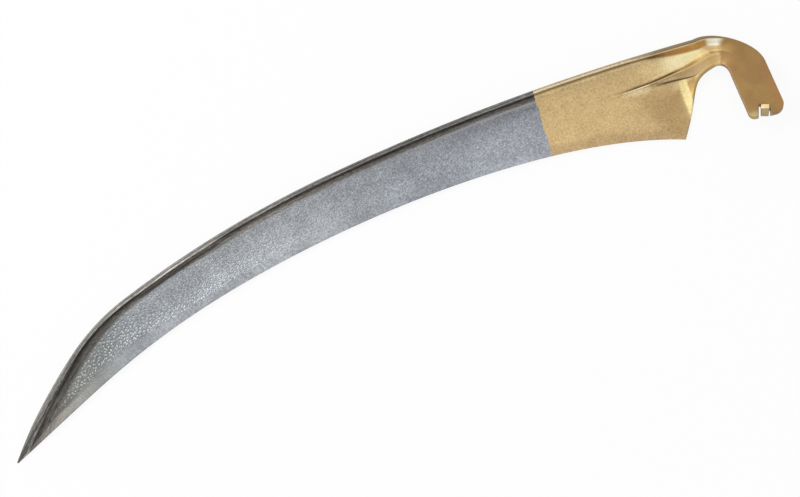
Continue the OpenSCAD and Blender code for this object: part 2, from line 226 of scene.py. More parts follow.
# Pairs of (distance from the back, height), for the under side and the upper side of each column.
def flatSection(s):
    q = section
    square, width = crossing(s)[0], station(s)[2]
    nearNeck = clamp((plan["cornerPlace"] - s) / (plan["cornerPlace"] - plan["neckPlace"]))
    heelRun = plan["backRuns"][0][0]
    toPoint = clamp((s - heelRun) / (pointPlace - heelRun))
    inPoint = clamp((s - pointPlace) / plan["pointLength"])
    flare = q["footFlare"] * math.sin(math.pi / 2 * nearNeck)
    foot = mix(q["ribWidth"], q["ribWidthPoint"], toPoint) / square + flare
    foot = min(foot, width * q["footMost"])
    rimBlend = smooth((plan["cornerPlace"] + q["edgeBand"] - s) / (2 * q["edgeBand"]))
    band = min(mix(q["edgeBand"], q["rimWidth"], rimBlend), width * q["bandMost"])
    ribHigh = mix(mix(q["ribHeight"], q["ribHeightPoint"], toPoint), q["tipThickness"], inPoint)
    ribTop = mix(mix(q["ribTop"], q["ribTopPoint"], toPoint), q["ribTopNeck"], nearNeck ** 2)
    ribTop = min(ribTop / square, foot * q["topMost"])
    thin = mix(1, q["tipThickness"] / (2 * q["webThickness"]), inPoint)

    foldWay = clamp((heel["foldPlace"] - s) / (heel["foldPlace"] - plan["neckPlace"]))
    crest = mix(heel["crestStart"], heel["crestNeck"], foldWay ** heel["crestBend"])
    steep = crest - mix(heel["startWidth"], heel["steepWidth"], foldWay)
    gentleWay = clamp((heel["gentlePlace"] - s) / (heel["gentlePlace"] - heel["gentleFull"]))
    gentle = min(mix(heel["startWidth"], heel["gentleWidth"], gentleWay),
                 width - band - crest - q["rimWidth"] / 2)
    foldEnd = crest + gentle
    lipWay = clamp((heel["lipPlace"] - s) / (heel["lipPlace"] - plan["neckPlace"]))
    lip = heel["lipHeight"] * lipWay
    away = s - heel["lipPlace"]
    hollowWay = away / heel["hollowRun"] if away > 0 else -away / heel["hollowEnd"]
    foldBlend = smooth((plan["lacquerPlace"] - s) / (plan["lacquerPlace"] - heel["foldPlace"]))

    def hollowAt(k):
        across = clamp((k - lowColumn) / (bandColumn - lowColumn))
        return heel["hollow"] * math.sin(math.pi * across) * smooth(1 - hollowWay)

    def raiseAt(k):
        if k <= steepColumn:
            return 0
        if k == crestColumn:
            return heel["foldHeight"] * foldWay ** heel["foldBend"]
        if k < lowColumn:
            return mix(raiseAt(crestColumn), raiseAt(lowColumn), heel["flankShare"])
        return lip - hollowAt(k)

    def underAt(k):
        if k <= steepColumn:
            return 0
        full = lip - (heel["throatThickness"] - q["edgeThickness"]) * lipWay ** 2
        return full * clamp((k - steepColumn) / (lowColumn - steepColumn)) - hollowAt(k)

    def columnAt(k):
        if k == edgeColumn:
            return width
        if k <= steepColumn:
            shaped = mix(foot, steep, (k - footColumn) / (steepColumn - footColumn))
        elif k <= lowColumn:
            shaped = mix(crest, foldEnd, (k - crestColumn) / (lowColumn - crestColumn))
        else:
            shaped = mix(foldEnd, width - band, (k - lowColumn) / (bandColumn - lowColumn))
        plain = mix(foot, width - band, (k - footColumn) / (bandColumn - footColumn))
        return mix(plain, shaped, foldBlend)

    def sheetPair(k):
        d = columnAt(k)
        bow = q["belly"] * (2 * (d - foot) / (width - foot) - 1) ** 2 * thin
        share = clamp((d - foot) / (width - band - foot))
        thick = mix(q["webThickness"], q["bandThickness"], share)
        if k == edgeColumn:
            thick = q["edgeThickness"]
        return [(d, bow + underAt(k)), (d, bow + thick * thin + raiseAt(k))]

    wall = sheetPair(footColumn)
    low, high = wall[0][1], wall[1][1]
    grow = foot / q["ribWidth"]
    lean = (ribHigh - high) * math.tan(math.radians(q["ribLean"])) / square
    lean = min(lean, foot * q["leanMost"])
    slope = lean + flare * q["wallFlare"]
    bevel = min(q["ribBevel"] * grow, (ribHigh - high) / 4)
    outer = [(lean * a, mix(low, ribHigh, b)) for a, b in q["outerWall"]]
    inner = [(ribTop + slope * a, mix(high, ribHigh, b)) for a, b in q["innerWall"]]
    rib = [
        [(bevel, ribHigh), (ribTop - bevel, ribHigh)],
        [(0, ribHigh - bevel), (ribTop, ribHigh - bevel)],
        [outer[0], inner[0]],
        [outer[1], inner[1]],
        [(lean + q["ribRound"] * grow, mix(low, high, q["roundRise"])),
         (mix(inner[1][0], foot, q["wallRun"]), inner[2][1])],
    ]
    return rib + [sheetPair(k) for k in range(footColumn, edgeColumn + 1)]


# The tang: its root is the middle of the end that meets the neck.
tang = {
    "width": 28.8,
    "thickness": 5.5,
    "length": 45,
    "endSkew": 2.1,
    "roundIn": 5.1,
    "roundOut": 8,
    "lift": 18,
    "turn": 12,
    "root": (5.8, -35.4, 13.5),
    "rootPlace": -30,  # where the finish's places begin on it
    "rounding": 0.7,
    "arcSteps": 14,
    "sharpAngle": 35,
}

# The knob, bent up at the closed end of its slot.
knob = {
    "width": 6.2,
    "thickness": 3.6,
    "height": 7,
    "lean": 24,
    "slope": 6,
    "turn": 21.4,
    "slitIn": 1.5,
    "slitOut": 1,
    "slitSkew": 3.5,
    "slotLength": 9.5,
    "rounding": 0.5,
    # the knob's top is painted bright, a painted highlight, this deep and over this run
    "gleamDepth": 0.5,
    "gleamRun": 0.4,
}

# The neck: its share u is 0 at the heel and 1 at the tang's root.
neck = {
    "outAngle": 2,
    "outPulls": (18, 17),
    "inPulls": (8, 6),
    "troughEnd": 0.6,
    "length": 45,
    "sideColumn": 4,  # the rib's outer wall up to this column becomes the tang's side
    "topShift": 0.5,
}

tangTurn, tangLift = math.radians(tang["turn"]), math.radians(tang["lift"])
tangMatrix = (Matrix.Translation(tang["root"]) @ Matrix.Rotation(-tangTurn, 4, "Z")
              @ Matrix.Rotation(-tangLift, 4, "X"))
knobPlace = tang["length"] - knob["slotLength"]
seat = np.array(tangMatrix @ Vector((0, -knobPlace / 2, 0)))
rootOut, rootIn = [np.array((tangMatrix @ Vector((x, 0, 0))).to_2d())
                   for x in (tang["width"] / 2, -tang["width"] / 2)]
tangWay = heading(90 - tang["turn"])
neckBack = backPose(plan["neckPlace"])[0]
neckOut = [neckBack, neckBack + neck["outPulls"][0] * heading(-neck["outAngle"]),
           rootOut + neck["outPulls"][1] * tangWay, rootOut]
neckIn = [throat, throat + neck["inPulls"][0] * heading(-plan["throatAngle"]),
          rootIn + neck["inPulls"][1] * tangWay, rootIn]
neckFlat = flatSection(plan["neckPlace"])


def neckPoint(u, start, across, depth, fade):
    fromHeel = start[0] / neckFlat[edgeColumn][0][0]
    f = mix(fromHeel, across, smooth(u))
    lid = mix(section["ribHeight"], neckFlat[edgeColumn][1][1], fromHeel)
    place = mix(bezier(neckOut, u), bezier(neckIn, u), f)
    place = place + depth * math.sin(tangLift) * smooth(u) * tangWay
    # three times a curve's last pull is its slope there
    pull = 3 * mix(neck["outPulls"][1], neck["inPulls"][1], f) * math.tan(tangLift)
    rise = mix(lid, tang["root"][2], smooth(u)) + (u ** 3 - u ** 2) * pull
    drop = mix(start[1] - lid, depth * math.cos(tangLift), smooth(fade))
    return [*place, rise + drop, start[0]]


# A ring runs once round a section: upper side, edge, under side, rib's top. Its points are
# x, y, z and the distance from the back. The edge and the rib's top are crossed in a few steps.
wallSteps = 3
underEnd = 2 * edgeColumn + wallSteps  # where the under side ends


def ringFromPairs(pairs):
    under, upper = np.array([p[0] for p in pairs]), np.array([p[1] for p in pairs])
    shares = [step / wallSteps for step in range(1, wallSteps)]
    edgeWall = [mix(upper[-1], under[-1], t) for t in shares]
    topWall = [mix(under[0], upper[0], t) for t in shares]
    return np.vstack([upper, edgeWall, under[::-1], topWall])


def bladeRing(s):
    start, way, width = station(s)
    return ringFromPairs([[(*(start + d * way), z, d) for d, z in pair] for pair in flatSection(s)])


def neckRing(u):
    pairs, side, shift = [], neck["sideColumn"], neck["topShift"]
    for k, (under, upper) in enumerate(neckFlat):
        rootUnder = ((0, -tang["thickness"] * k / side) if k <= side
                     else ((k - side) / (edgeColumn - side), -tang["thickness"]))
        rootUpper = ((k + shift) / (edgeColumn + shift), 0)
        pairs.append([neckPoint(u, under, *rootUnder, u),
                      neckPoint(u, upper, *rootUpper, u / neck["troughEnd"])])
    return ringFromPairs(pairs)


# How the forging departs from its drawing: soft corners, hammer marks and a slow wave.
forging = {
    "softBlade": 0.4,
    "softHeel": 0.6,
    "softNeck": 0.9,
    "softRun": 20,
    "wornCut": 0.2,  # how deep a cut corner is fully worn, against its softness
    "markDepth": 0.05,
    "markUnder": 0.6,
    "markAlong": 4.4,
    "markAcross": 3.6,
    "markSway": 0.2,
    "swayAcross": (3.1, 0.7),  # (length, bend)
    "swayAlong": (4.3, 11),
    "markStart": (2, 6),  # (distance from the lacquer, run)
    "markStop": (4, 12),  # (distance from the point, run)
    "markColumns": (5.2, 1.2, 13.9, 0.8),  # (first, run, last, run)
    "wave": 0.10,
    "waveAlong": (13, 29),
    "waveAcross": (11, 17),
    "waveBend": 1.1,
    "lacquerWobble": 0.7,
    "wobbleReach": 6,
    "wobbleWaves": [(3.7, 0, 0.6), (1.6, 1, 0.4)],  # (length, phase, share)
}


# Reads a ring at the given indexes with its corners rounded, and says how much each was cut.
def sampleRing(ring, index, soft):
    closed = np.vstack([ring, ring[:1]])
    steps = np.linalg.norm(np.diff(closed[:, :3], axis=0), axis=1)
    run = np.concatenate([[0], np.cumsum(steps)])
    t = np.interp(index, np.arange(len(closed)), run)
    points = np.zeros((len(t), 4))
    for offset, weight in [(-1, 1), (-0.5, 2), (0, 2), (0.5, 2), (1, 1)]:  # eighths
        for axis in range(4):
            points[:, axis] += weight / 8 * np.interp(
                (t + offset * soft) % run[-1], run, closed[:, axis])
    sharp = np.array([np.interp(t, run, closed[:, axis]) for axis in range(3)]).T
    cut = np.linalg.norm(points[:, :3] - sharp, axis=1) / (forging["wornCut"] * soft)
    return points, np.clip(cut, 0, 1)


allColumns = np.array(
    [0, 0.5, 1, 1.2, 1.4, 1.7, 2, 2.3, 2.6, 3, 3.25, 3.5, 3.75, 4, 4.25, 4.5, 4.75]
    + [round(5 + 0.2 * i, 6) for i in range(45)]
    + [14, 14.15, 14.3, 14.5, 14.7, 14.85, 14.93, 14.97, 15])
levels = np.arange(wallSteps + 1) / wallSteps  # from the under side to the upper side


# Low hammer marks on the bare web and a slow wave in the whole sheet, as heights in millimetres.
def forgedHeight(s, d, column):
    q = forging
    (quick, slow), (near, far) = q["waveAlong"], q["waveAcross"]
    bend = q["waveBend"] * np.sin(d / near)
    wave = q["wave"] * (1 + np.sin(s / quick + bend) * np.sin(s / slow + d / far))

    def rising(value, run):
        return np.clip(value / run, 0, 1)

    (start, startRun), (stop, stopRun) = q["markStart"], q["markStop"]
    first, firstRun, last, lastRun = q["markColumns"]
    bare = rising(s - plan["lacquerPlace"] - start, startRun) * rising(pointPlace - stop - s, stopRun)
    sheet = rising(column - first, firstRun) * rising(last - column, lastRun)
    (swayAcross, swayBend), (swayShort, swayLong) = q["swayAcross"], q["swayAlong"]
    bend = swayBend * np.sin(s / swayLong)
    along = s / q["markAlong"] + q["markSway"] * np.sin(d / swayAcross + bend)
    across = d / q["markAcross"] + q["markSway"] * np.sin(s / swayShort)
    marks = np.cos(2 * np.pi * along) * np.cos(2 * np.pi * across)
    return wave, marks * q["markDepth"] * bare * sheet


# Extrudes faces by a step and returns the new ones.
def pullFaces(bm, faces, step):
    grown = bmesh.ops.extrude_face_region(bm, geom=faces)["geom"]
    bmesh.ops.translate(bm, vec=step, verts=[g for g in grown if isinstance(g, bmesh.types.BMVert)])
    return [g for g in grown if isinstance(g, bmesh.types.BMFace)]


def meshFrom(bm, name):
    mesh = bpy.data.meshes.new(name)
    bm.to_mesh(mesh)
    bm.free()
    return mesh


def addObject(name, data):
    thing = bpy.data.objects.new(name, data)
    bpy.context.scene.collection.objects.link(thing)
    return thing


# Gives a mesh what its finish reads: a strip of UVs, in millimetres, and facts at its points.
def addFacts(mesh, strip, facts):
    for label, values in facts.items():
        values = np.ascontiguousarray(values)
        mesh.attributes.new(label, "FLOAT", "POINT").data.foreach_set("value", values)
    loopVert = np.zeros(len(mesh.loops), dtype=np.int32)
    mesh.loops.foreach_get("vertex_index", loopVert)
    mesh.uv_layers.new(name="strip").data.foreach_set("uv", (strip[loopVert] * mm).ravel())
    return loopVert


pieces = {}


def addPiece(name, mesh, node):
    piece = addObject(name, mesh)
    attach(piece, "root")
    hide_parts(node)
    pieces[name] = piece


forgedZones = []


# Makes one closed zone of the forging, over a list of (place, ring, softness) and some columns.
def forgedZone(name, node, rings, firstColumn, lastColumn, isTip):
    columns = allColumns[(allColumns >= firstColumn) & (allColumns <= lastColumn)]
    n, m = len(rings), len(columns)
    points = np.zeros((n, m, wallSteps + 1, 3))
    # along and square to the back, signed column, wear, place
    facts = np.zeros((n, m, wallSteps + 1, 5))
    for i, (place, ring, soft) in enumerate(rings):
        square, drift = crossing(place) if place >= plan["neckPlace"] else (1, 0)
        for level, share in enumerate(levels):
            index = columns.copy() if share == 1 else underEnd - columns
            if 0 < share < 1:  # only the rib's top and the edge are seen at these levels
                step = wallSteps * share
                index = np.where(columns == 0, underEnd + step, index)
                index = np.where(columns == edgeColumn, edgeColumn + wallSteps - step, index)
            sampled, wear = sampleRing(ring, index, soft)
            if 0 < share < 1:
                upper, _ = sampleRing(ring, columns, soft)
                inside = (columns > 0) & (columns < edgeColumn)
                sampled = np.where(inside[:, None], mix(sampled, upper, share), sampled)
            wave, marks = forgedHeight(place, sampled[:, 3], columns)
            calm = clamp(place / plan["neckPlace"])  # the neck and the tang stay true
            points[i, :, level] = sampled[:, :3]
            points[i, :, level, 2] += wave * calm
            points[i, :, level, 2] += marks if share == 1 else marks * forging["markUnder"]
            d = sampled[:, 3]
            signed = columns if share == 1 else -columns
            facts[i, :, level] = np.stack(
                [place + drift * d, square * d, signed, wear, np.full(m, place)], axis=1)
    # the lacquer's line wanders a little
    for i, (place, ring, soft) in enumerate(rings):
        fall = clamp(1 - abs(place - plan["lacquerPlace"]) / forging["wobbleReach"])
        if fall > 0:
            way = (backPose(place + 1)[0] - backPose(place - 1)[0]) / 2
            d = facts[i, :, :, 1]
            waves = sum(np.sin(d / length + phase) * part
                        for length, phase, part in forging["wobbleWaves"])
            for axis in range(2):
                points[i, :, :, axis] += forging["lacquerWobble"] * fall * waves * way[axis]
    points = (points - seat) * mm

    bm = bmesh.new()
    bmesh.ops.create_grid(bm, x_segments=n - 1, y_segments=m - 1, size=0.5)
    faces = bm.faces[:]
    for level in range(wallSteps):
        faces = pullFaces(bm, faces, (0, 0, 1))
        inner = [f for f in bm.faces if level and all(abs(v.co.z - level) < 0.1 for v in f.verts)]
        bmesh.ops.delete(bm, geom=inner, context="FACES_KEEP_BOUNDARY")
    grid = np.array([v.co[:] for v in bm.verts])
    i = np.rint((grid[:, 0] + 0.5) * (n - 1)).astype(int)
    j = np.rint((grid[:, 1] + 0.5) * (m - 1)).astype(int)
    level = np.rint(grid[:, 2]).astype(int)
    for vert, co in zip(bm.verts, points[i, j, level]):
        vert.co = co
    mesh = meshFrom(bm, name)
    vertFacts = facts[i, j, level]
    loopVert = addFacts(mesh, vertFacts[:, :2], {
        "column": vertFacts[:, 2], "wear": vertFacts[:, 3], "place": vertFacts[:, 4]})

    # walls shared with a neighbour are hidden, and stay out of the shading
    ends = [(j, 0, firstColumn > 0), (j, m - 1, lastColumn < edgeColumn),
            (i, 0, True), (i, n - 1, not isTip)]
    hidden = [any(isShared and (line[list(face.vertices)] == end).all()
                  for line, end, isShared in ends) for face in mesh.polygons]
    addPiece(name, mesh, node)
    forgedZones.append({"mesh": mesh, "points": points[i, j, level], "hidden": hidden,
                        "loopVert": loopVert})
    print("zone", name, len(mesh.polygons), "faces")


# Gives neighbouring zones one shading normal along their seam, as the forging is one surface.
def shareNormals():
    keys = np.vstack([np.rint(zone["points"] * 1e6) for zone in forgedZones]).astype(np.int64)
    _, shared = np.unique(keys, axis=0, return_inverse=True)
    shared = shared.ravel()
    sums = np.zeros((shared.max() + 1, 3))
    start = 0
    for zone in forgedZones:
        mesh = zone["mesh"]
        zone["keys"] = shared[start:start + len(mesh.vertices)]
        start += len(mesh.vertices)
        for face, isHidden in zip(mesh.polygons, zone["hidden"]):
            if not isHidden:
                sums[zone["keys"][list(face.vertices)]] += np.array(face.normal) * face.area
    sums /= np.maximum(np.linalg.norm(sums, axis=1), 1e-12)[:, None]
    for zone in forgedZones:
        mesh = zone["mesh"]
        normals = sums[zone["keys"][zone["loopVert"]]]
        for face, isHidden in zip(mesh.polygons, zone["hidden"]):
            face.use_smooth = True
            if isHidden:
                normals[face.loop_start:face.loop_start + face.loop_total] = face.normal[:]
        mesh.normals_split_custom_set([tuple(normal) for normal in normals])


def bladeRings(first, last, count):
    rings = []
    for s in np.linspace(first, last, count):
        bare = smooth((s - plan["lacquerPlace"]) / forging["softRun"])
        rings.append((s, bladeRing(s), mix(forging["softHeel"], forging["softBlade"], bare)))
    return rings


ringCounts = {"bare": 440, "point": 34, "plate": 44, "fold": 44, "corner": 43, "neck": 46}
bareRings = bladeRings(plan["lacquerPlace"], pointPlace, ringCounts["bare"])
pointRings = bladeRings(pointPlace, backLength, ringCounts["point"])
plateRings = bladeRings(heel["foldPlace"], plan["lacquerPlace"], ringCounts["plate"])
foldRings = (bladeRings(plan["neckPlace"], plan["cornerPlace"], ringCounts["corner"])[:-1]
             + bladeRings(plan["cornerPlace"], heel["foldPlace"], ringCounts["fold"]))
heelRings = foldRings[:-1] + plateRings
neckRings = [(plan["neckPlace"] - u * neck["length"], neckRing(u),
              mix(forging["softHeel"], forging["softNeck"], u))
             for u in np.linspace(1, 0, ringCounts["neck"])]

for name, node, rings, firstColumn, lastColumn in [
        ("darkPoint", "point", pointRings, 0, edgeColumn),
        ("smoothEdge", "edge", bareRings, bandColumn, edgeColumn),
        ("hammeredWeb", "web", bareRings, footColumn, bandColumn),
        ("darkRib", "rib", bareRings, 0, footColumn),
        ("goldRib", "heel_rib", heelRings, 0, footColumn),
        ("goldPlate", "heel_plate", plateRings, footColumn, bandColumn),
        ("goldTrough", "trough", foldRings, footColumn, crestColumn),
        ("goldFold", "fold", foldRings, crestColumn, lowColumn),
        ("goldBeard", "beard", foldRings, lowColumn, bandColumn),
        ("goldEdge", "heel_edge", heelRings, bandColumn, edgeColumn),
        ("satinNeck", "neck", neckRings, 0, edgeColumn)]:
    forgedZone(name, node, rings, firstColumn, lastColumn, rings is pointRings)
shareNormals()
print("blade forged")


# Turns a bmesh in the tang's plane into a placed piece, painted bright above a height as a painted
# highlight.
def tangPiece(bm, name, node, gleamFrom):
    bmesh.ops.recalc_face_normals(bm, faces=bm.faces)
    flat = np.array([v.co[:] for v in bm.verts])
    bmesh.ops.transform(bm, matrix=tangMatrix, verts=bm.verts)
    bmesh.ops.translate(bm, vec=Vector(-seat), verts=bm.verts)
    bmesh.ops.scale(bm, vec=(mm, mm, mm), verts=bm.verts)
    mesh = meshFrom(bm, name)
    place = flat[:, 1] + tang["rootPlace"]
    addFacts(mesh, np.stack([place, flat[:, 0] + tang["width"] / 2], axis=1), {
        "wear": np.clip((flat[:, 2] - gleamFrom) / knob["gleamRun"], 0, 1), "place": place})
    mesh.shade_smooth()
    mesh.set_sharp_from_angle(angle=math.radians(tang["sharpAngle"]))
    addPiece(name, mesh, node)


# Frame of the slot: its origin is the middle of the closed end, and -y runs out of the open one.
slotMatrix = (Matrix.Translation((0, -knobPlace, 0))
              @ Matrix.Rotation(-math.radians(knob["turn"]), 4, "Z"))


def spinArc(bm, centre, radius, start, turn):
    corner = bm.verts.new(centre + radius * Vector((math.cos(start), math.sin(start), 0)))
    before = set(bm.verts)
    bmesh.ops.spin(bm, geom=[corner], cent=centre, axis=(0, 0, -1), angle=turn,
                   steps=tang["arcSteps"], use_merge=False, dvec=(0, 0, 0))
    spun = [v for v in bm.verts if v not in before]
    return [corner] + sorted(spun, key=lambda v: (v.co - corner.co).length)


def roundEdges(bm, edges, radius):
    bmesh.ops.bevel(bm, geom=edges, offset=radius, offset_type="OFFSET", affect="EDGES",
                    segments=4, profile=0.5, material=-1, clamp_overlap=True)


def makeTang():
    half, long = tang["width"] / 2, tang["length"]
    roundIn, roundOut = tang["roundIn"], tang["roundOut"]
    endIn = Vector((roundIn - half, tang["endSkew"] + roundIn - long, 0))
    endOut = Vector((half - roundOut, roundOut - long, 0))
    way = endOut - endIn
    tilt = math.atan2(way.y, way.x) - math.asin((roundOut - roundIn) / way.length)
    side = Vector((math.sin(tilt), -math.cos(tilt), 0))
    slotWay = slotMatrix.to_3x3() @ Vector((0, -1, 0))

    # where a line through the slot, at a distance from its middle, leaves the tang's end
    def slotMouth(x):
        start = slotMatrix @ Vector((x, 0, 0))
        return start + slotWay * (endOut + roundOut * side - start).dot(side) / slotWay.dot(side)

    bm = bmesh.new()
    flank, skew = knob["width"] / 2, knob["slitSkew"]
    inSlit, outSlit = -flank - knob["slitIn"], flank + knob["slitOut"]
    corners = [(outSlit, -skew), (flank, -skew), (flank, 0), (inSlit, 0)]
    slot = [slotMouth(outSlit)] + [slotMatrix @ Vector((*corner, 0)) for corner in corners]
    slot.append(slotMouth(inSlit))
    outline = [bm.verts.new((half, 0, 0))]
    outline += spinArc(bm, endOut, roundOut, 0, math.pi / 2 - tilt)
    outline += [bm.verts.new(corner) for corner in slot]
    outline += spinArc(bm, endIn, roundIn, tilt - math.pi / 2, math.pi / 2 + tilt)
    outline.append(bm.verts.new((-half, 0, 0)))
    pullFaces(bm, [bm.faces.new(outline)], (0, 0, -tang["thickness"]))
    # the rims, without those of the root
    rims = [e for e in bm.edges if abs(e.verts[0].co.z - e.verts[1].co.z) < 1e-6
            and not all(abs(v.co.y) < 1e-6 for v in e.verts)]
    roundEdges(bm, rims, tang["rounding"])
    tangPiece(bm, "satinTang", "tang", 1)


def makeKnob():
    deep = -tang["thickness"]
    back = knob["height"] * math.tan(math.radians(knob["lean"]))
    front = back + knob["thickness"]
    foot = front + (knob["height"] - deep) * math.tan(math.radians(knob["slope"]))
    profile = [(0, deep), (0, 0), (back, knob["height"]), (front, knob["height"]), (foot, deep)]
    bm = bmesh.new()
    face = bm.faces.new([bm.verts.new((-knob["width"] / 2, -y, z)) for y, z in profile])
    pullFaces(bm, [face], (knob["width"], 0, 0))
    roundEdges(bm, bm.edges[:], knob["rounding"])
    bmesh.ops.transform(bm, matrix=slotMatrix, verts=bm.verts)
    tangPiece(bm, "bentKnob", "knob", knob["height"] - knob["gleamDepth"])


makeTang()
makeKnob()
print("tang and knob made")


# Links a socket to an input, or sets the input to a plain value.
def feed(tree, entry, value):
    if isinstance(value, bpy.types.NodeSocket):
        tree.links.new(value, entry)
    else:
        entry.default_value = value


def addNode(tree, kind, inputs=None, **settings):
    node = tree.nodes.new(kind)
    for key, value in settings.items():
        setattr(node, key, value)
    for key, value in (inputs or {}).items():
        feed(tree, node.inputs[key], value)
    return node


def calc(tree, operation, a, b=0.0, c=0.0):
    return addNode(tree, "ShaderNodeMath", {0: a, 1: b, 2: c}, operation=operation).outputs[0]


def times(tree, *values):
    product = values[0]
    for value in values[1:]:
        product = calc(tree, "MULTIPLY", product, value)
    return product


def noise(tree, vector, scale, detail=2.0, roughness=0.5):
    return addNode(tree, "ShaderNodeTexNoise", {
        "Vector": vector, "Scale": scale, "Detail": detail, "Roughness": roughness}).outputs["Fac"]


def fromTo(tree, value, low, high, outLow=0.0, outHigh=1.0, curve="SMOOTHSTEP"):
    return addNode(tree, "ShaderNodeMapRange", {
        "Value": value, "From Min": low, "From Max": high, "To Min": outLow, "To Max": outHigh},
        interpolation_type=curve).outputs["Result"]


# Goes evenly from a to b as the mask goes from 0 to 1.
def between(tree, mask, a, b):
    return fromTo(tree, mask, 0.0, 1.0, a, b, "LINEAR")


# Rises from the first value to the second and falls from the third to the fourth.
def window(tree, value, start, full, fade, end):
    return times(tree, fromTo(tree, value, start, full), fromTo(tree, value, fade, end, 1.0, 0.0))


def ramp(tree, value, stops):
    node = addNode(tree, "ShaderNodeValToRGB", {"Fac": value})
    elements = node.color_ramp.elements
    while len(elements) < len(stops):
        elements.new(1.0)
    for element, (position, colour) in zip(elements, stops):
        element.position = position
        element.color = (*(colour if isinstance(colour, tuple) else (colour,) * 3), 1)
    return node.outputs["Color"]


def blend(tree, factor, a, b):
    a, b = [(*value, 1) if isinstance(value, tuple) else value for value in (a, b)]
    return addNode(tree, "ShaderNodeMix", {0: factor, 6: a, 7: b}, data_type="RGBA").outputs[2]


def shaded(tree, colour, factor):
    return addNode(tree, "ShaderNodeVectorMath", {0: colour, 3: factor}, operation="SCALE").outputs[0]


# Shades a colour by a noise, whose middle range gives factors from the least to the most.
def mottled(tree, colour, texture, least, most, low=0.3, high=0.7):
    return shaded(tree, colour, fromTo(tree, texture, low, high, least, most))


# A colour as the screen shows it, from 0 to 255, made linear.
def screen(r, g, b):
    return tuple(v / 255 / 12.92 if v <= 10 else ((v / 255 + 0.055) / 1.055) ** 2.4 for v in (r, g, b))


socketKinds = {"f": "NodeSocketFloat", "v": "NodeSocketVector", "c": "NodeSocketColor"}
skinOutputs = {"Color": "c", "Roughness": "f", "Metal": "f", "Height": "f"}


# Starts a shader group. Inputs and outputs are given as a name and a letter for its kind.
def newGroup(name, inputs, outputs):
    tree = bpy.data.node_groups.new(name, "ShaderNodeTree")
    for way, sockets in (("INPUT", inputs), ("OUTPUT", outputs)):
        for label, kind in sockets.items():
            tree.interface.new_socket(label, in_out=way, socket_type=socketKinds[kind])
    return tree, tree.nodes.new("NodeGroupInput").outputs, tree.nodes.new("NodeGroupOutput").inputs


def useGroup(tree, group, inputs):
    return addNode(tree, "ShaderNodeGroup", inputs, node_tree=group).outputs


def putOut(tree, put, **values):
    for label, value in values.items():
        feed(tree, put[label], value)
    return tree


grain = {"finer": 2.7, "coarseShare": 0.65, "fineShare": 0.35}


# Sandy grain: a shade round 1 and a height.
def buildGrain():
    tree, given, put = newGroup("sandyGrain", {"Vector": "v", "Scale": "f", "Contrast": "f"},
                                {"Shade": "f", "Height": "f"})
    coarse = noise(tree, given["Vector"], given["Scale"], 2, 0.6)
    fine = noise(tree, given["Vector"], times(tree, given["Scale"], grain["finer"]), 1)
    both = calc(tree, "ADD", times(tree, coarse, grain["coarseShare"]),
                times(tree, fine, grain["fineShare"]))
    centred = times(tree, calc(tree, "SUBTRACT", both, 0.5), given["Contrast"])
    return putOut(tree, put, Shade=calc(tree, "ADD", centred, 1.0), Height=both)


# Hammer marks, with sizes in pitches of their rows.
hammer = {
    "jitter": 0.85,
    "bendScale": 1.7,
    "bend": 0.4,
    "shadowShift": (0.26, 0.22, 0),
    "rim": (0.26, 0.52),
    "dimple": 0.6,
    "chanceSoft": 0.25,
}


# Hammer marks in loose rows: each has a painted highlight on one side, painted shade on the other and a
# dimple.
def buildMarks():
    tree, given, put = newGroup("hammerMarks", {"Vector": "v", "Pitch": "v", "Share": "f"},
                                {"Bright": "f", "Dark": "f", "Height": "f"})
    cells = addNode(tree, "ShaderNodeVectorMath", {0: given["Vector"], 1: given["Pitch"]},
                    operation="DIVIDE").outputs[0]
    bent = times(tree, noise(tree, cells, hammer["bendScale"], 2), hammer["bend"])
    least = calc(tree, "SUBTRACT", 1.0, given["Share"])
    for label, shift in [("Bright", (0, 0, 0)), ("Dark", hammer["shadowShift"])]:
        moved = addNode(tree, "ShaderNodeVectorMath", {0: cells, 1: shift}, operation="ADD").outputs[0]
        dots = addNode(tree, "ShaderNodeTexVoronoi", {
            "Vector": moved, "Scale": 1.0, "Randomness": hammer["jitter"]},
            voronoi_dimensions="2D", feature="F1").outputs
        chance = addNode(tree, "ShaderNodeSeparateColor", {"Color": dots["Color"]}).outputs[0]
        reach = calc(tree, "ADD", dots["Distance"], bent)
        mark = times(tree, fromTo(tree, reach, *hammer["rim"], 1.0, 0.0),
                     fromTo(tree, chance, least, calc(tree, "ADD", least, hammer["chanceSoft"])))
        feed(tree, put[label], mark)
        if label == "Bright":
            feed(tree, put["Height"], fromTo(tree, dots["Distance"], 0.0, hammer["dimple"]))
    return tree


rub = {"scale": 420.0, "corner": (0.25, 0.8), "least": 0.4}


# Wear where the forging's corners were rounded, broken up by noise; on the lacquer it paints the knob's
# top bright, a painted highlight.
def buildWearAndGleam():
    tree, given, put = newGroup("cornerWearAndGleam", {"Vector": "v", "Corner": "f", "Amount": "f"},
                                {"Mask": "f"})
    broken = fromTo(tree, noise(tree, given["Vector"], rub["scale"], 3), 0.35, 0.65, rub["least"], 1.0)
    corner = fromTo(tree, given["Corner"], *rub["corner"])
    return putOut(tree, put, Mask=times(tree, corner, broken, given["Amount"]))


grainGroup, marksGroup, wearAndGleamGroup = buildGrain(), buildMarks(), buildWearAndGleam()

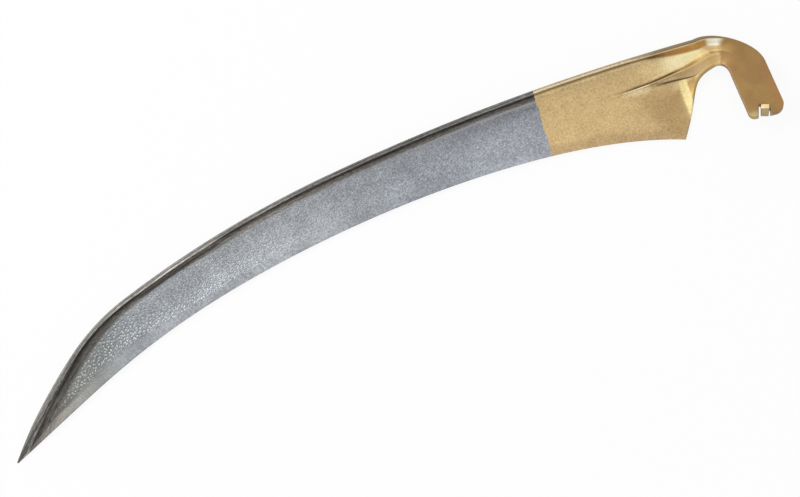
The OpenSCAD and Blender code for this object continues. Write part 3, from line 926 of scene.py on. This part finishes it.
# Finish of the bare blade. Places are millimetres from the shoulder, along the back.
bareFinish = {
    "places": (150, 675),
    "web": {152: (153, 156, 163), 195: (157, 160, 167), 235: (150, 154, 160), 270: (153, 157, 163),
            315: (159, 163, 168), 345: (163, 166, 170), 405: (167, 171, 176), 435: (164, 168, 172),
            495: (161, 165, 170), 530: (150, 154, 158), 560: (147, 150, 151), 600: (138, 139, 135),
            640: (128, 121, 114)},
    # gains of the web near the rib, darker by the heel as painted shade and lighter further on, and
    # toward the edge beside the lacquer: window square to the back, and gain by place
    "webGains": [
        ((8.6, 10, 13, 18), {152: 0.7, 195: 0.79, 225: 1, 315: 1.08, 375: 1, 435: 1.02, 470: 1.17,
                             495: 1.22, 525: 1.12, 555: 1.08, 585: 1.18, 615: 1.1}),
        ((18, 30, 60, 61), {152: 1.08, 170: 1.12, 195: 1.3, 220: 1.1, 240: 1})],
    # bands of the rib by centimetres from the back, where bandWidth is 1: the light band on its top is
    # a painted highlight, the dark line at its inner wall painted shade, the brown is scale
    "bands": {0.00: (96, 94, 90), 0.19: (92, 90, 86), 0.27: (128, 125, 120), 0.33: (122, 119, 114),
              0.375: (98, 93, 88), 0.425: (98, 93, 88), 0.50: (98, 94, 90), 0.60: (112, 108, 103),
              0.74: (120, 116, 111)},
    "bandWidth": {152: 1, 525: 1, 555: 0.87, 572: 1, 600: 1.5, 645: 1.65},
    # topGain lightens the rib's top as a painted highlight; brownGain sets the scale below it
    "topGain": {152: 1.28, 200: 1.25, 225: 1, 255: 1.12, 300: 0.92, 330: 1.2, 375: 1.5, 435: 1.4,
                470: 1.75, 497: 1.4, 525: 1.75, 555: 1.4, 585: 1.2, 600: 1.8, 615: 1.9, 650: 1.5},
    "brownGain": {152: 1, 285: 1.08, 315: 1.12, 345: 1.45, 405: 1.55, 435: 1.17, 495: 0.99,
                  525: 0.8, 555: 0.7, 585: 0.42, 600: 0.55, 615: 0.75, 645: 1.1},
    "topEnd": (0.33, 0.40),
    # the dark line is painted shade at the rib's inner wall; its gain lightens it where the wall's own
    # shade is deep and darkens it near the point
    "line": (0.24, 0.36, 0.43, 0.49),
    "lineGain": {152: 1, 424: 1, 436: 3.8, 500: 3.2, 514: 1.1, 560: 0.9, 585: 0.7, 600: 0.4, 645: 0.6},
    # the second dark line: windows along the blade and over the bands, and its gain
    "second": ((424, 436, 500, 514), (0.51, 0.58, 0.68, 0.78), 0.42),
    "wander": 0.8,
    "ribSide": (84, 81, 77),
    "sideColumns": (-1.6, -0.9, 1.0, 0.0),
    # a light line at the rib's foot, a painted highlight
    "foot": (166, 163, 161),
    "footWindow": (0.2, 0.8, 1.4, 2.4),
    "footEnd": (230, 290, 0.7, 0.0),
    "wearAndGleam": (172, 171, 168),
    "wornAmount": 0.3,
    "wornColumns": (4.0, 5.0, 1.0, 0.0),
    "edgeColumns": (13.8, 14.2, 1.0, 1.04),
    # where the scale gives way to the web: distance from the back, and how softly
    "scaleEdge": {152: 7.8, 200: 7.1, 240: 7.5, 290: 7.8, 340: 8.3, 400: 8.6, 440: 9.1, 480: 7.7,
                  520: 8.5, 560: 10.6, 600: 11.6, 620: 12.4, 640: 18, 658: 40},
    "scaleSoft": {152: 1.2, 450: 1.6, 560: 3, 620: 6, 650: 10},
    # hammer marks: colours of their painted highlights and painted shade, pitches of the fine ones and
    # of those near the point, shares, and
    # the columns where they stop, which lie further in near the point
    "bright": (218, 222, 216),
    "dark": (92, 96, 99),
    "fineMarks": ((2.2, 1.5, 1), 0.65),
    "coarseMarks": ((3.0, 2.3, 1), 0.8),
    "coarseFrom": (440, 540),
    "marksFade": (480, 560, 13.2, 10.6),
    "marksStop": (480, 560, 14.0, 13.2),
    "darkAmount": 0.7,
    "markAmount": {152: 0.4, 300: 0.4, 430: 0.55, 510: 0.8, 560: 0.95, 635: 0.95, 655: 0.3, 660: 0},
    # noises: streaks and flakes are stretched along the blade
    "streaks": (0.03, 1.5, 1),
    "flakes": (0.22, 1.3, 1),
    "clouds": 40.0,
    "patches": 150.0,
    "grain": (560.0, 2.1),
    "grainFade": (480, 580, 0.0, 0.55),
    # of the scale and of the bare web
    "scaleRoughness": (0.42, 0.56),
    "webRoughness": (0.30, 0.42),
    "metal": (0.6, 0.85),
    "sandHeight": 0.4,
    "scaleHeight": 0.8,
}


def buildBareSkin():
    look = bareFinish
    tree, given, put = newGroup(
        "bareSkin", {"Vector": "v", "Along": "f", "Across": "f", "Column": "f", "Wear": "f",
                     "Marks": "f"}, skinOutputs)
    vector, along, across = given["Vector"], given["Along"], given["Across"]
    side = calc(tree, "ABSOLUTE", given["Column"])
    first, last = look["places"]
    place = fromTo(tree, along, first, last, curve="LINEAR")

    def alongRamp(stops):
        return ramp(tree, place, [((s - first) / (last - first), stop) for s, stop in stops])

    def alongValue(stops):
        most = max(stops.values())
        return times(tree, alongRamp([(s, value / most) for s, value in stops.items()]), most)

    def stretched(scale):
        return addNode(tree, "ShaderNodeMapping", {"Vector": strip, "Scale": scale}).outputs[0]

    strip = addNode(tree, "ShaderNodeCombineXYZ", {0: along, 1: across}).outputs[0]
    lengthwise = stretched(look["streaks"])
    streaks = noise(tree, lengthwise, 1.0, 4, 0.6)
    flakes = noise(tree, stretched(look["flakes"]), 1.0, 3, 0.7)
    clouds = noise(tree, vector, look["clouds"], 3)
    patches = noise(tree, vector, look["patches"], 3, 0.6)
    scale, contrast = look["grain"]
    sand = useGroup(tree, grainGroup, {"Vector": vector, "Scale": scale, "Contrast": contrast})

    # bands of the rib, by distance from the back
    widen = alongValue(look["bandWidth"])
    sway = calc(tree, "SUBTRACT", noise(tree, lengthwise, 0.6, 2), 0.5)
    wander = times(tree, sway, look["wander"])
    bandPlace = calc(tree, "DIVIDE", calc(tree, "ADD", across, wander), times(tree, widen, 10.0))
    bands = ramp(tree, bandPlace, [(stop, screen(*colour)) for stop, colour in look["bands"].items()])
    # the rib's top is a painted highlight, the dark line at its inner wall painted shade
    onLine = window(tree, bandPlace, *look["line"])
    bands = shaded(tree, bands, between(tree, onLine, 1.0, alongValue(look["lineGain"])))
    bands = shaded(tree, bands, between(tree, fromTo(tree, bandPlace, *look["topEnd"]),
                                        alongValue(look["topGain"]), alongValue(look["brownGain"])))
    run, width, gain = look["second"]
    second = times(tree, window(tree, along, *run), window(tree, bandPlace, *width))
    bands = shaded(tree, bands, fromTo(tree, second, 0.0, 1.0, 1.0, gain))
    bands = mottled(tree, bands, streaks, 0.5, 1.5)
    bands = mottled(tree, bands, flakes, 0.55, 1.5, 0.32, 0.68)
    outer = fromTo(tree, given["Column"], *look["sideColumns"])
    outside = mottled(tree, screen(*look["ribSide"]), clouds, 0.8, 1.2)
    bands = blend(tree, outer, bands, shaded(tree, outside, sand["Shade"]))

    # the web, by distance along and square to the back
    web = alongRamp([(s, screen(*colour)) for s, colour in look["web"].items()])
    for width, gains in look["webGains"]:
        inside = window(tree, across, *width)
        web = shaded(tree, web, between(tree, inside, 1.0, alongValue(gains)))
    web = mottled(tree, web, clouds, 0.90, 1.10, 0.25, 0.75)
    for texture in (patches, streaks):
        web = mottled(tree, web, texture, 0.95, 1.05)
    marksFade, marksStop = [fromTo(tree, along, *look[label]) for label in ("marksFade", "marksStop")]
    amount = times(tree, alongValue(look["markAmount"]), given["Marks"],
                   fromTo(tree, side, marksFade, marksStop, 1.0, 0.0))
    fine, coarse = [
        useGroup(tree, marksGroup, {"Vector": strip, "Pitch": pitch, "Share": share})
        for pitch, share in (look["fineMarks"], look["coarseMarks"])]
    toTip = fromTo(tree, along, *look["coarseFrom"])
    marks = {label: between(tree, toTip, fine[label], coarse[label])
             for label in ("Bright", "Dark", "Height")}
    # painted shade on each mark's dark side, a painted highlight on its bright side
    shadows = times(tree, marks["Dark"], amount, look["darkAmount"])
    web = blend(tree, shadows, web, screen(*look["dark"]))
    web = blend(tree, times(tree, marks["Bright"], amount), web, screen(*look["bright"]))
    web = blend(tree, fromTo(tree, along, *look["grainFade"]), shaded(tree, web, sand["Shade"]), web)
    web = shaded(tree, web, fromTo(tree, side, *look["edgeColumns"]))

    beyond = calc(tree, "ADD", across, times(tree, wander, widen))
    beyond = calc(tree, "SUBTRACT", beyond, alongValue(look["scaleEdge"]))
    # a painted highlight along the rib's foot
    footLine = times(tree, window(tree, beyond, *look["footWindow"]),
                     fromTo(tree, along, *look["footEnd"]))
    web = blend(tree, footLine, web, screen(*look["foot"]))
    reach = calc(tree, "DIVIDE", beyond, alongValue(look["scaleSoft"]))
    bare = times(tree, fromTo(tree, reach, -0.5, 0.5), calc(tree, "SUBTRACT", 1.0, outer))
    colour = blend(tree, bare, bands, web)
    wearAndGleam = useGroup(tree, wearAndGleamGroup, {
        "Vector": vector, "Corner": given["Wear"], "Amount": look["wornAmount"]})["Mask"]
    wearAndGleam = times(tree, wearAndGleam, fromTo(tree, side, *look["wornColumns"]))
    height = calc(tree, "ADD", times(tree, marks["Height"], amount),
                  times(tree, sand["Height"], look["sandHeight"]))
    scaly = times(tree, streaks, calc(tree, "SUBTRACT", 1.0, bare), look["scaleHeight"])
    return putOut(
        tree, put,
        Color=blend(tree, wearAndGleam, colour, screen(*look["wearAndGleam"])),
        Roughness=between(tree, bare, fromTo(tree, streaks, 0.3, 0.7, *look["scaleRoughness"]),
                          fromTo(tree, clouds, 0.3, 0.7, *look["webRoughness"])),
        Metal=fromTo(tree, bare, 0.0, 1.0, *look["metal"]),
        Height=calc(tree, "ADD", times(tree, height, bare), scaly))


bareSkin = buildBareSkin()

# Finish of the lacquered heel, neck and tang.
goldFinish = {
    "colours": {
        "sheet": (214, 184, 131),
        "edge": (198, 168, 122),
        "tang": (160, 124, 76),
        "tangOlive": (155, 124, 71),
        "tangRed": (168, 122, 78),
        "tangEnd": (216, 196, 144),
        "ribTop": (178, 156, 124),
        "ribRidge": (236, 216, 176),
        "ribSide": (122, 106, 80),
        # on the lacquer this colour lies only on the knob's top, a painted highlight
        "wearAndGleam": (252, 226, 168),
    },
    # windows over the section's columns, and of the ridge in millimetres from the back; the ridge is a
    # painted highlight on the rib's top and its outer side painted shade
    "edge": (13.2, 14.2, 15.5, 16.0),
    "ribTop": (-1.0, -0.6, 0.9, 1.2),
    "ribSide": (-5.0, -4.4, -1.6, -0.9),
    "ribRidge": (1.1, 1.8, 2.5, 3.2),
    "ridgeShift": (60, 80, -1.0, 0.0),
    # the tang's brown, a painted shade for the darker room its tilted face mirrors, begins at a
    # slanted, ragged line
    "tangLine": (3.0, 8.0, 1.0, 0.0),
    "tangSlant": 0.3,
    "tangRagged": 5.0,
    # places on the tang: (from, to), and the same across it; the pale ends of its lobes are a painted
    # highlight
    "redAlong": (-20, -30),
    "redAcross": (18, 27, 0.0, 0.6),
    "paleAlong": (-66, -72),
    "paleAcross": (12, 20, 0.6, 0.0),
    "gleamAlong": (-60, -50, 1.8, 0.0),
    # noises, and where the sand begins after the smooth neck
    "clouds": 45.0,
    "patches": 110.0,
    "grain": (620.0, 1.45),
    "sandFrom": (24, 70, 0.15, 1.0),
    "metal": (0.66, 0.74),
    "roughness": (0.46, 0.32),
    "thickness": 0.75,  # how much less metal shows where highlights are painted
}

# Painted shade on the lacquer, in the rib's walls, the creases, the fold's flank, the hollow and the
# outline, a painted highlight in the trough, and darker olive tones: colour, strength, window along the
# blade in millimetres, window over the section's columns, and slant in millimetres for each column.
paintedGoldShading = {
    "oliveWall": ((206, 170, 110), 0.9, (60, 100, 300, 301), (0.8, 1.0, 1.9, 2.6), 0),
    "darkWall": ((142, 112, 64), 0.9, (34, 48, 70, 100), (0.8, 1.2, 2.9, 3.8), 0),
    "orangeWall": ((208, 160, 92), 0.95, (10, 14, 42, 56), (1.0, 1.3, 3.7, 4.5), 0),
    "paleTrough": ((238, 214, 160), 0.5, (20, 30, 54, 76), (4.6, 5.2, 6.8, 7.3), 0),
    "crease": ((96, 72, 36), 0.95, (36, 50, 76, 108), (6.8, 7.15, 7.6, 7.9), 0),
    "creaseTan": ((150, 116, 66), 0.5, (6, 14, 34, 48), (6.9, 7.3, 7.8, 8.2), 0),
    "foldFlank": ((200, 168, 116), 0.4, (16, 26, 46, 58), (8.0, 8.4, 9.6, 10.0), 0),
    "secondCrease": ((84, 62, 28), 0.95, (28, 38, 54, 68), (9.7, 9.9, 10.1, 10.25), 0),
    "hollow": ((176, 146, 98), 0.85, (48, 52, 60, 76), (10.8, 11.6, 13.6, 14.6), 1.6),
    "lipOlive": ((164, 134, 66), 0.8, (30, 36, 40.5, 43), (10.4, 11.0, 14.4, 15.2), 1.2),
    "shade": ((188, 156, 106), 0.6, (52, 58, 74, 84), (10.2, 10.8, 12.4, 13.6), 0),
    "throat": ((158, 128, 72), 0.7, (14, 22, 36, 41), (11.5, 13, 16.5, 17), 0),
    "neckOlive": ((190, 152, 78), 0.5, (4, 9, 18, 28), (8.2, 8.8, 11.0, 12.5), 0),
    "rim": ((138, 116, 84), 0.9, (-4, 2, 48, 66), (-5.0, -1.2, 0.05, 0.28), 0),
}

# Painted highlights and reflections on the lacquer, where less metal shows, in the same form.
paintedGoldHighlights = {
    "ribEnd": ((214, 186, 134), 0.8, (12, 20, 54, 84), (0.05, 0.3, 0.9, 1.1), 0),
    "ribGleam": ((252, 234, 194), 0.95, (10, 20, 60, 80), (0.45, 0.62, 0.96, 1.1), 0),
    "foot": ((246, 222, 170), 0.9, (54, 68, 300, 301), (1.7, 2.2, 4.4, 5.2), 0),
    "trough": ((255, 240, 188), 1.0, (14, 20, 42, 58), (4.0, 4.7, 6.5, 7.3), 0),
    "ridge": ((250, 232, 188), 0.9, (64, 70, 82, 92), (7.7, 7.95, 9.6, 10.6), 0),
    "ridgeEnd": ((250, 232, 188), 0.5, (44, 52, 64, 70), (8.5, 8.8, 9.5, 9.8), 0),
    "underCrease": ((250, 228, 176), 0.4, (36, 42, 50, 56), (10.25, 10.5, 10.9, 11.4), 0),
    "lip": ((255, 236, 168), 0.9, (40.5, 43, 47, 49.5), (10.1, 10.5, 14.4, 15.2), 1.5),
    "neckYellow": ((255, 232, 164), 0.7, (12, 16, 22, 30), (5.0, 5.7, 7.4, 8.2), 0),
    "neck": ((255, 252, 236), 1.0, (2.0, 5.5, 11, 14), (0.3, 0.9, 3.9, 4.6), 0),
}


def buildLacquerSkin():
    look = goldFinish
    colours = {label: screen(*value) for label, value in look["colours"].items()}
    tree, given, put = newGroup(
        "lacquerSkin", {"Vector": "v", "Place": "f", "Across": "f", "Column": "f", "Wear": "f"},
        skinOutputs)
    vector, place, column, across = (given[label] for label in ("Vector", "Place", "Column", "Across"))
    clouds = noise(tree, vector, look["clouds"], 3)
    patches = noise(tree, vector, look["patches"], 3, 0.6)
    sandy = fromTo(tree, place, *look["sandFrom"])
    scale, contrast = look["grain"]
    sand = useGroup(tree, grainGroup, {
        "Vector": vector, "Scale": scale, "Contrast": times(tree, sandy, contrast)})

    edge, onTop, outside = [window(tree, column, *look[label])
                            for label in ("edge", "ribTop", "ribSide")]
    # a painted highlight along the rib's top, and painted shade on its outer side
    ridge = calc(tree, "ADD", across, fromTo(tree, place, *look["ridgeShift"]))
    ridge = times(tree, onTop, window(tree, ridge, *look["ribRidge"]))
    coat = colours["sheet"]
    for mask, label in [(edge, "edge"), (onTop, "ribTop"), (ridge, "ribRidge"), (outside, "ribSide")]:
        coat = blend(tree, mask, coat, colours[label])
    thick = 0.0
    # painted shade, then painted highlights, laid over the coat
    for tints in (paintedGoldShading, paintedGoldHighlights):
        for colour, strength, placeWindow, columnWindow, slant in tints.values():
            slanted = place
            if slant:
                past = calc(tree, "SUBTRACT", column, columnWindow[0])
                slanted = calc(tree, "SUBTRACT", place, times(tree, past, slant))
            mask = times(tree, window(tree, slanted, *placeWindow),
                         window(tree, column, *columnWindow), strength)
            mask = times(tree, mask, fromTo(tree, patches, 0.3, 0.7, 0.86, 1.0))
            coat = blend(tree, mask, coat, screen(*colour))
            # where highlights are painted, less metal shows, so their colour holds
            if tints is paintedGoldHighlights:
                thick = calc(tree, "MAXIMUM", mask, thick)

    slanted = times(tree, calc(tree, "ABSOLUTE", column), look["tangSlant"])
    slanted = calc(tree, "SUBTRACT", place, slanted)
    ragged = calc(tree, "ADD", slanted, times(tree, patches, look["tangRagged"]))
    onTang = fromTo(tree, ragged, *look["tangLine"])
    olive = fromTo(tree, clouds, 0.35, 0.65, 0.0, 0.7)
    # the pale lobe ends are a painted highlight
    red, pale = [times(tree, fromTo(tree, place, *look[label + "Along"]),
                       fromTo(tree, across, *look[label + "Across"])) for label in ("red", "pale")]
    # the tang's brown is painted shade on the same lacquer
    brown = colours["tang"]
    for mask, label in [(olive, "tangOlive"), (red, "tangRed"), (pale, "tangEnd")]:
        brown = blend(tree, mask, brown, colours[label])
    colour = blend(tree, onTang, coat, brown)
    colour = mottled(tree, colour, clouds, 0.95, 1.05)
    colour = mottled(tree, colour, patches, 0.94, 1.06)
    colour = shaded(tree, colour, sand["Shade"])
    # on the lacquer this mask is a painted highlight on the knob's top
    wearAndGleam = useGroup(tree, wearAndGleamGroup, {
        "Vector": vector, "Corner": given["Wear"],
        "Amount": fromTo(tree, place, *look["gleamAlong"])})["Mask"]
    # less metal under the painted highlights, but not on the tang
    thick = times(tree, thick, calc(tree, "SUBTRACT", 1.0, onTang), look["thickness"])
    return putOut(
        tree, put,
        Color=blend(tree, wearAndGleam, colour, colours["wearAndGleam"]),
        Roughness=fromTo(tree, sand["Height"], 0.3, 0.7, *look["roughness"]),
        Metal=times(tree, fromTo(tree, patches, 0.3, 0.7, *look["metal"]),
                    calc(tree, "SUBTRACT", 1.0, thick)),
        Height=calc(tree, "ADD", times(tree, sand["Height"], sandy), times(tree, patches, 0.3)))


lacquerSkin = buildLacquerSkin()

# The metals: skin, bump in metres, shade of steep faces, and the pieces that wear them.
metals = {
    "hammeredSteel": {"slot": "hammered_steel", "skin": bareSkin, "marks": 1.0, "bump": 0.0002,
                      "steep": 0.6, "on": ["hammeredWeb"]},
    "smoothSteel": {"slot": "bright_edge", "skin": bareSkin, "marks": 0.2, "bump": 0.00008,
                    "steep": 0.6, "on": ["smoothEdge"]},
    "darkScale": {"slot": "dark_scale", "skin": bareSkin, "marks": 0.5, "bump": 0.00018,
                  "steep": 0.6, "on": ["darkRib", "darkPoint"]},
    "goldLacquer": {"slot": "gold_lacquer", "skin": lacquerSkin, "coat": 0.15, "bump": 0.00012,
                    "steep": 0.6, "on": ["goldRib", "goldPlate", "goldTrough", "goldFold",
                                         "goldBeard", "goldEdge"]},
    "satinGold": {"slot": "satin_gold", "skin": lacquerSkin, "coat": 0.1, "bump": 0.00008,
                  "steep": 0.65, "on": ["satinNeck", "satinTang", "bentKnob"]},
}


steepLevel = (0.15, 0.7)  # the upright part of the normal on a steep face and on a level one


# Makes a metal with its skin group: sizes along and across reach the group in millimetres.
def makeMetal(name, look):
    material = bpy.data.materials.new(name)
    material.use_nodes = True
    tree = material.node_tree
    tree.nodes.clear()
    coords = addNode(tree, "ShaderNodeTexCoord").outputs
    strip = addNode(tree, "ShaderNodeUVMap", uv_map="strip").outputs[0]
    split = addNode(tree, "ShaderNodeSeparateXYZ", {0: strip}).outputs
    inputs = {"Vector": coords["Object"]}
    for item in look["skin"].interface.items_tree:
        if item.in_out == "OUTPUT" or item.name == "Vector":
            continue
        if item.name == "Marks":
            inputs["Marks"] = look["marks"]
        elif item.name in ("Along", "Across"):
            inputs[item.name] = times(tree, split[0 if item.name == "Along" else 1], 1 / mm)
        else:
            fact = addNode(tree, "ShaderNodeAttribute", attribute_name=item.name.lower())
            inputs[item.name] = fact.outputs["Fac"]
    skin = useGroup(tree, look["skin"], inputs)
    # steep faces are painted darker, a painted shade for the darker room they mirror
    level = addNode(tree, "ShaderNodeSeparateXYZ", {0: coords["Normal"]}).outputs["Z"]
    level = calc(tree, "ABSOLUTE", level)
    colour = shaded(tree, skin["Color"], fromTo(tree, level, *steepLevel, look["steep"], 1.0))
    bump = addNode(tree, "ShaderNodeBump", {
        "Height": skin["Height"], "Distance": look["bump"], "Strength": 1.0})
    shader = addNode(tree, "ShaderNodeBsdfPrincipled", {
        "Base Color": colour, "Metallic": skin["Metal"], "Roughness": skin["Roughness"],
        "Coat Weight": look.get("coat", 0.0), "Coat Roughness": 0.25, "Normal": bump.outputs[0]})
    addNode(tree, "ShaderNodeOutputMaterial", {"Surface": shader.outputs[0]})
    return material


for name, look in metals.items():
    metal = makeMetal(name, look)
    for piece in [pieces[label] for label in look["on"]]:
        piece.data.materials.clear()
        piece.data.materials.append(metal)
print("finishes set")

# The photograph's camera: above the blade, leaning a little to the edge's side.
view = {
    "distance": 1.5,
    "aim": (-302.5, -13.9, 0),
    "lean": 4,
    "roll": 31.504,
    "lens": 84.96,
    "reach": 20,
}


def makeCamera():
    camera = addObject("photoCamera", bpy.data.cameras.new("photoCamera"))
    lean, roll = math.radians(view["lean"]), math.radians(view["roll"])
    toward = Vector((0, -math.sin(lean), math.cos(lean)))
    up = Vector((0, math.cos(lean), math.sin(lean)))
    right = Vector((1, 0, 0))
    imageRight = math.cos(roll) * right - math.sin(roll) * up
    imageUp = math.sin(roll) * right + math.cos(roll) * up
    place = (Vector(view["aim"]) - Vector(seat)) * mm + toward * view["distance"]
    turned = Matrix((imageRight, imageUp, toward)).transposed().to_4x4()
    camera.matrix_world = Matrix.Translation(place) @ turned
    camera.data.lens = view["lens"]
    camera.data.clip_end = view["reach"]
    bpy.context.scene.camera = camera
    return imageRight, imageUp, toward


imageRight, imageUp, towardCamera = makeCamera()

# The studio. Directions are (to the image's right, up, toward the camera), in metres.
studio = {
    "floorWhite": 0.9,
    "floorGlow": 0.9,
    "floorSize": 4,
    "floorMiddle": -0.3,
    "floorGap": 0.0006,
    "airFrom": (-0.9, 0.45),
    "airRange": 0.9,
    "airLevels": (0.35, 1.25),
    "keyPower": 14,
    "keySize": 1.4,
    "keyAim": (-0.25, 0.05, 0),
    "keyFrom": (-1.5, 0.7, 1.3),
}


# A pale floor, white to the camera and in reflections, that keeps the blade's shadow.
def makeFloor():
    bm = bmesh.new()
    bmesh.ops.create_grid(bm, x_segments=1, y_segments=1, size=studio["floorSize"])
    low = cadBox[0][2] - studio["floorGap"]
    bmesh.ops.translate(bm, vec=(studio["floorMiddle"], 0, low), verts=bm.verts)
    floor = addObject("paleFloor", meshFrom(bm, "paleFloor"))
    material = bpy.data.materials.new("palePaper")
    material.use_nodes = True
    tree = material.node_tree
    tree.nodes.clear()
    paper = addNode(tree, "ShaderNodeBsdfDiffuse", {"Color": (studio["floorWhite"],) * 3 + (1,)})
    glow = addNode(tree, "ShaderNodeEmission", {"Color": (1, 1, 1, 1), "Strength": 1.0})
    seen = 0.0
    light = addNode(tree, "ShaderNodeLightPath").outputs
    for ray in ("Is Camera Ray", "Is Glossy Ray", "Is Transmission Ray"):
        seen = calc(tree, "MAXIMUM", light[ray], seen)
    both = addNode(tree, "ShaderNodeMixShader", {
        0: times(tree, seen, studio["floorGlow"]), 1: paper.outputs[0], 2: glow.outputs[0]})
    addNode(tree, "ShaderNodeOutputMaterial", {"Surface": both.outputs[0]})
    floor.data.materials.append(material)


def makeLights():
    world = bpy.data.worlds.new("studioAir")
    bpy.context.scene.world = world
    world.use_nodes = True
    tree = world.node_tree
    tree.nodes.clear()
    # lighter on the photograph's upper left, darker on its lower right
    direction = addNode(tree, "ShaderNodeTexCoord").outputs["Generated"]
    bright = (imageRight * studio["airFrom"][0] + imageUp * studio["airFrom"][1]).normalized()
    slope = addNode(tree, "ShaderNodeVectorMath", {0: direction, 1: tuple(bright)},
                    operation="DOT_PRODUCT").outputs["Value"]
    level = fromTo(tree, slope, -studio["airRange"], studio["airRange"], *studio["airLevels"], "LINEAR")
    light = addNode(tree, "ShaderNodeLightPath").outputs
    strength = between(tree, light["Is Camera Ray"], level, 1.0)
    air = addNode(tree, "ShaderNodeBackground", {"Color": (1, 1, 1, 1), "Strength": strength})
    addNode(tree, "ShaderNodeOutputWorld", {"Surface": air.outputs[0]})

    key = addObject("keyLight", bpy.data.lights.new("keyLight", "AREA"))
    key.data.shape = "SQUARE"
    key.data.size = studio["keySize"]
    key.data.energy = studio["keyPower"]
    aim = Vector(studio["keyAim"])
    toRight, toUp, toCamera = studio["keyFrom"]
    place = aim + towardCamera * toCamera + imageRight * toRight + imageUp * toUp
    key.matrix_world = (Matrix.Translation(place)
                        @ (place - aim).to_track_quat("Z", "Y").to_matrix().to_4x4())


makeFloor()
makeLights()
bpy.context.scene.view_settings.view_transform = "Standard"
print("studio set")
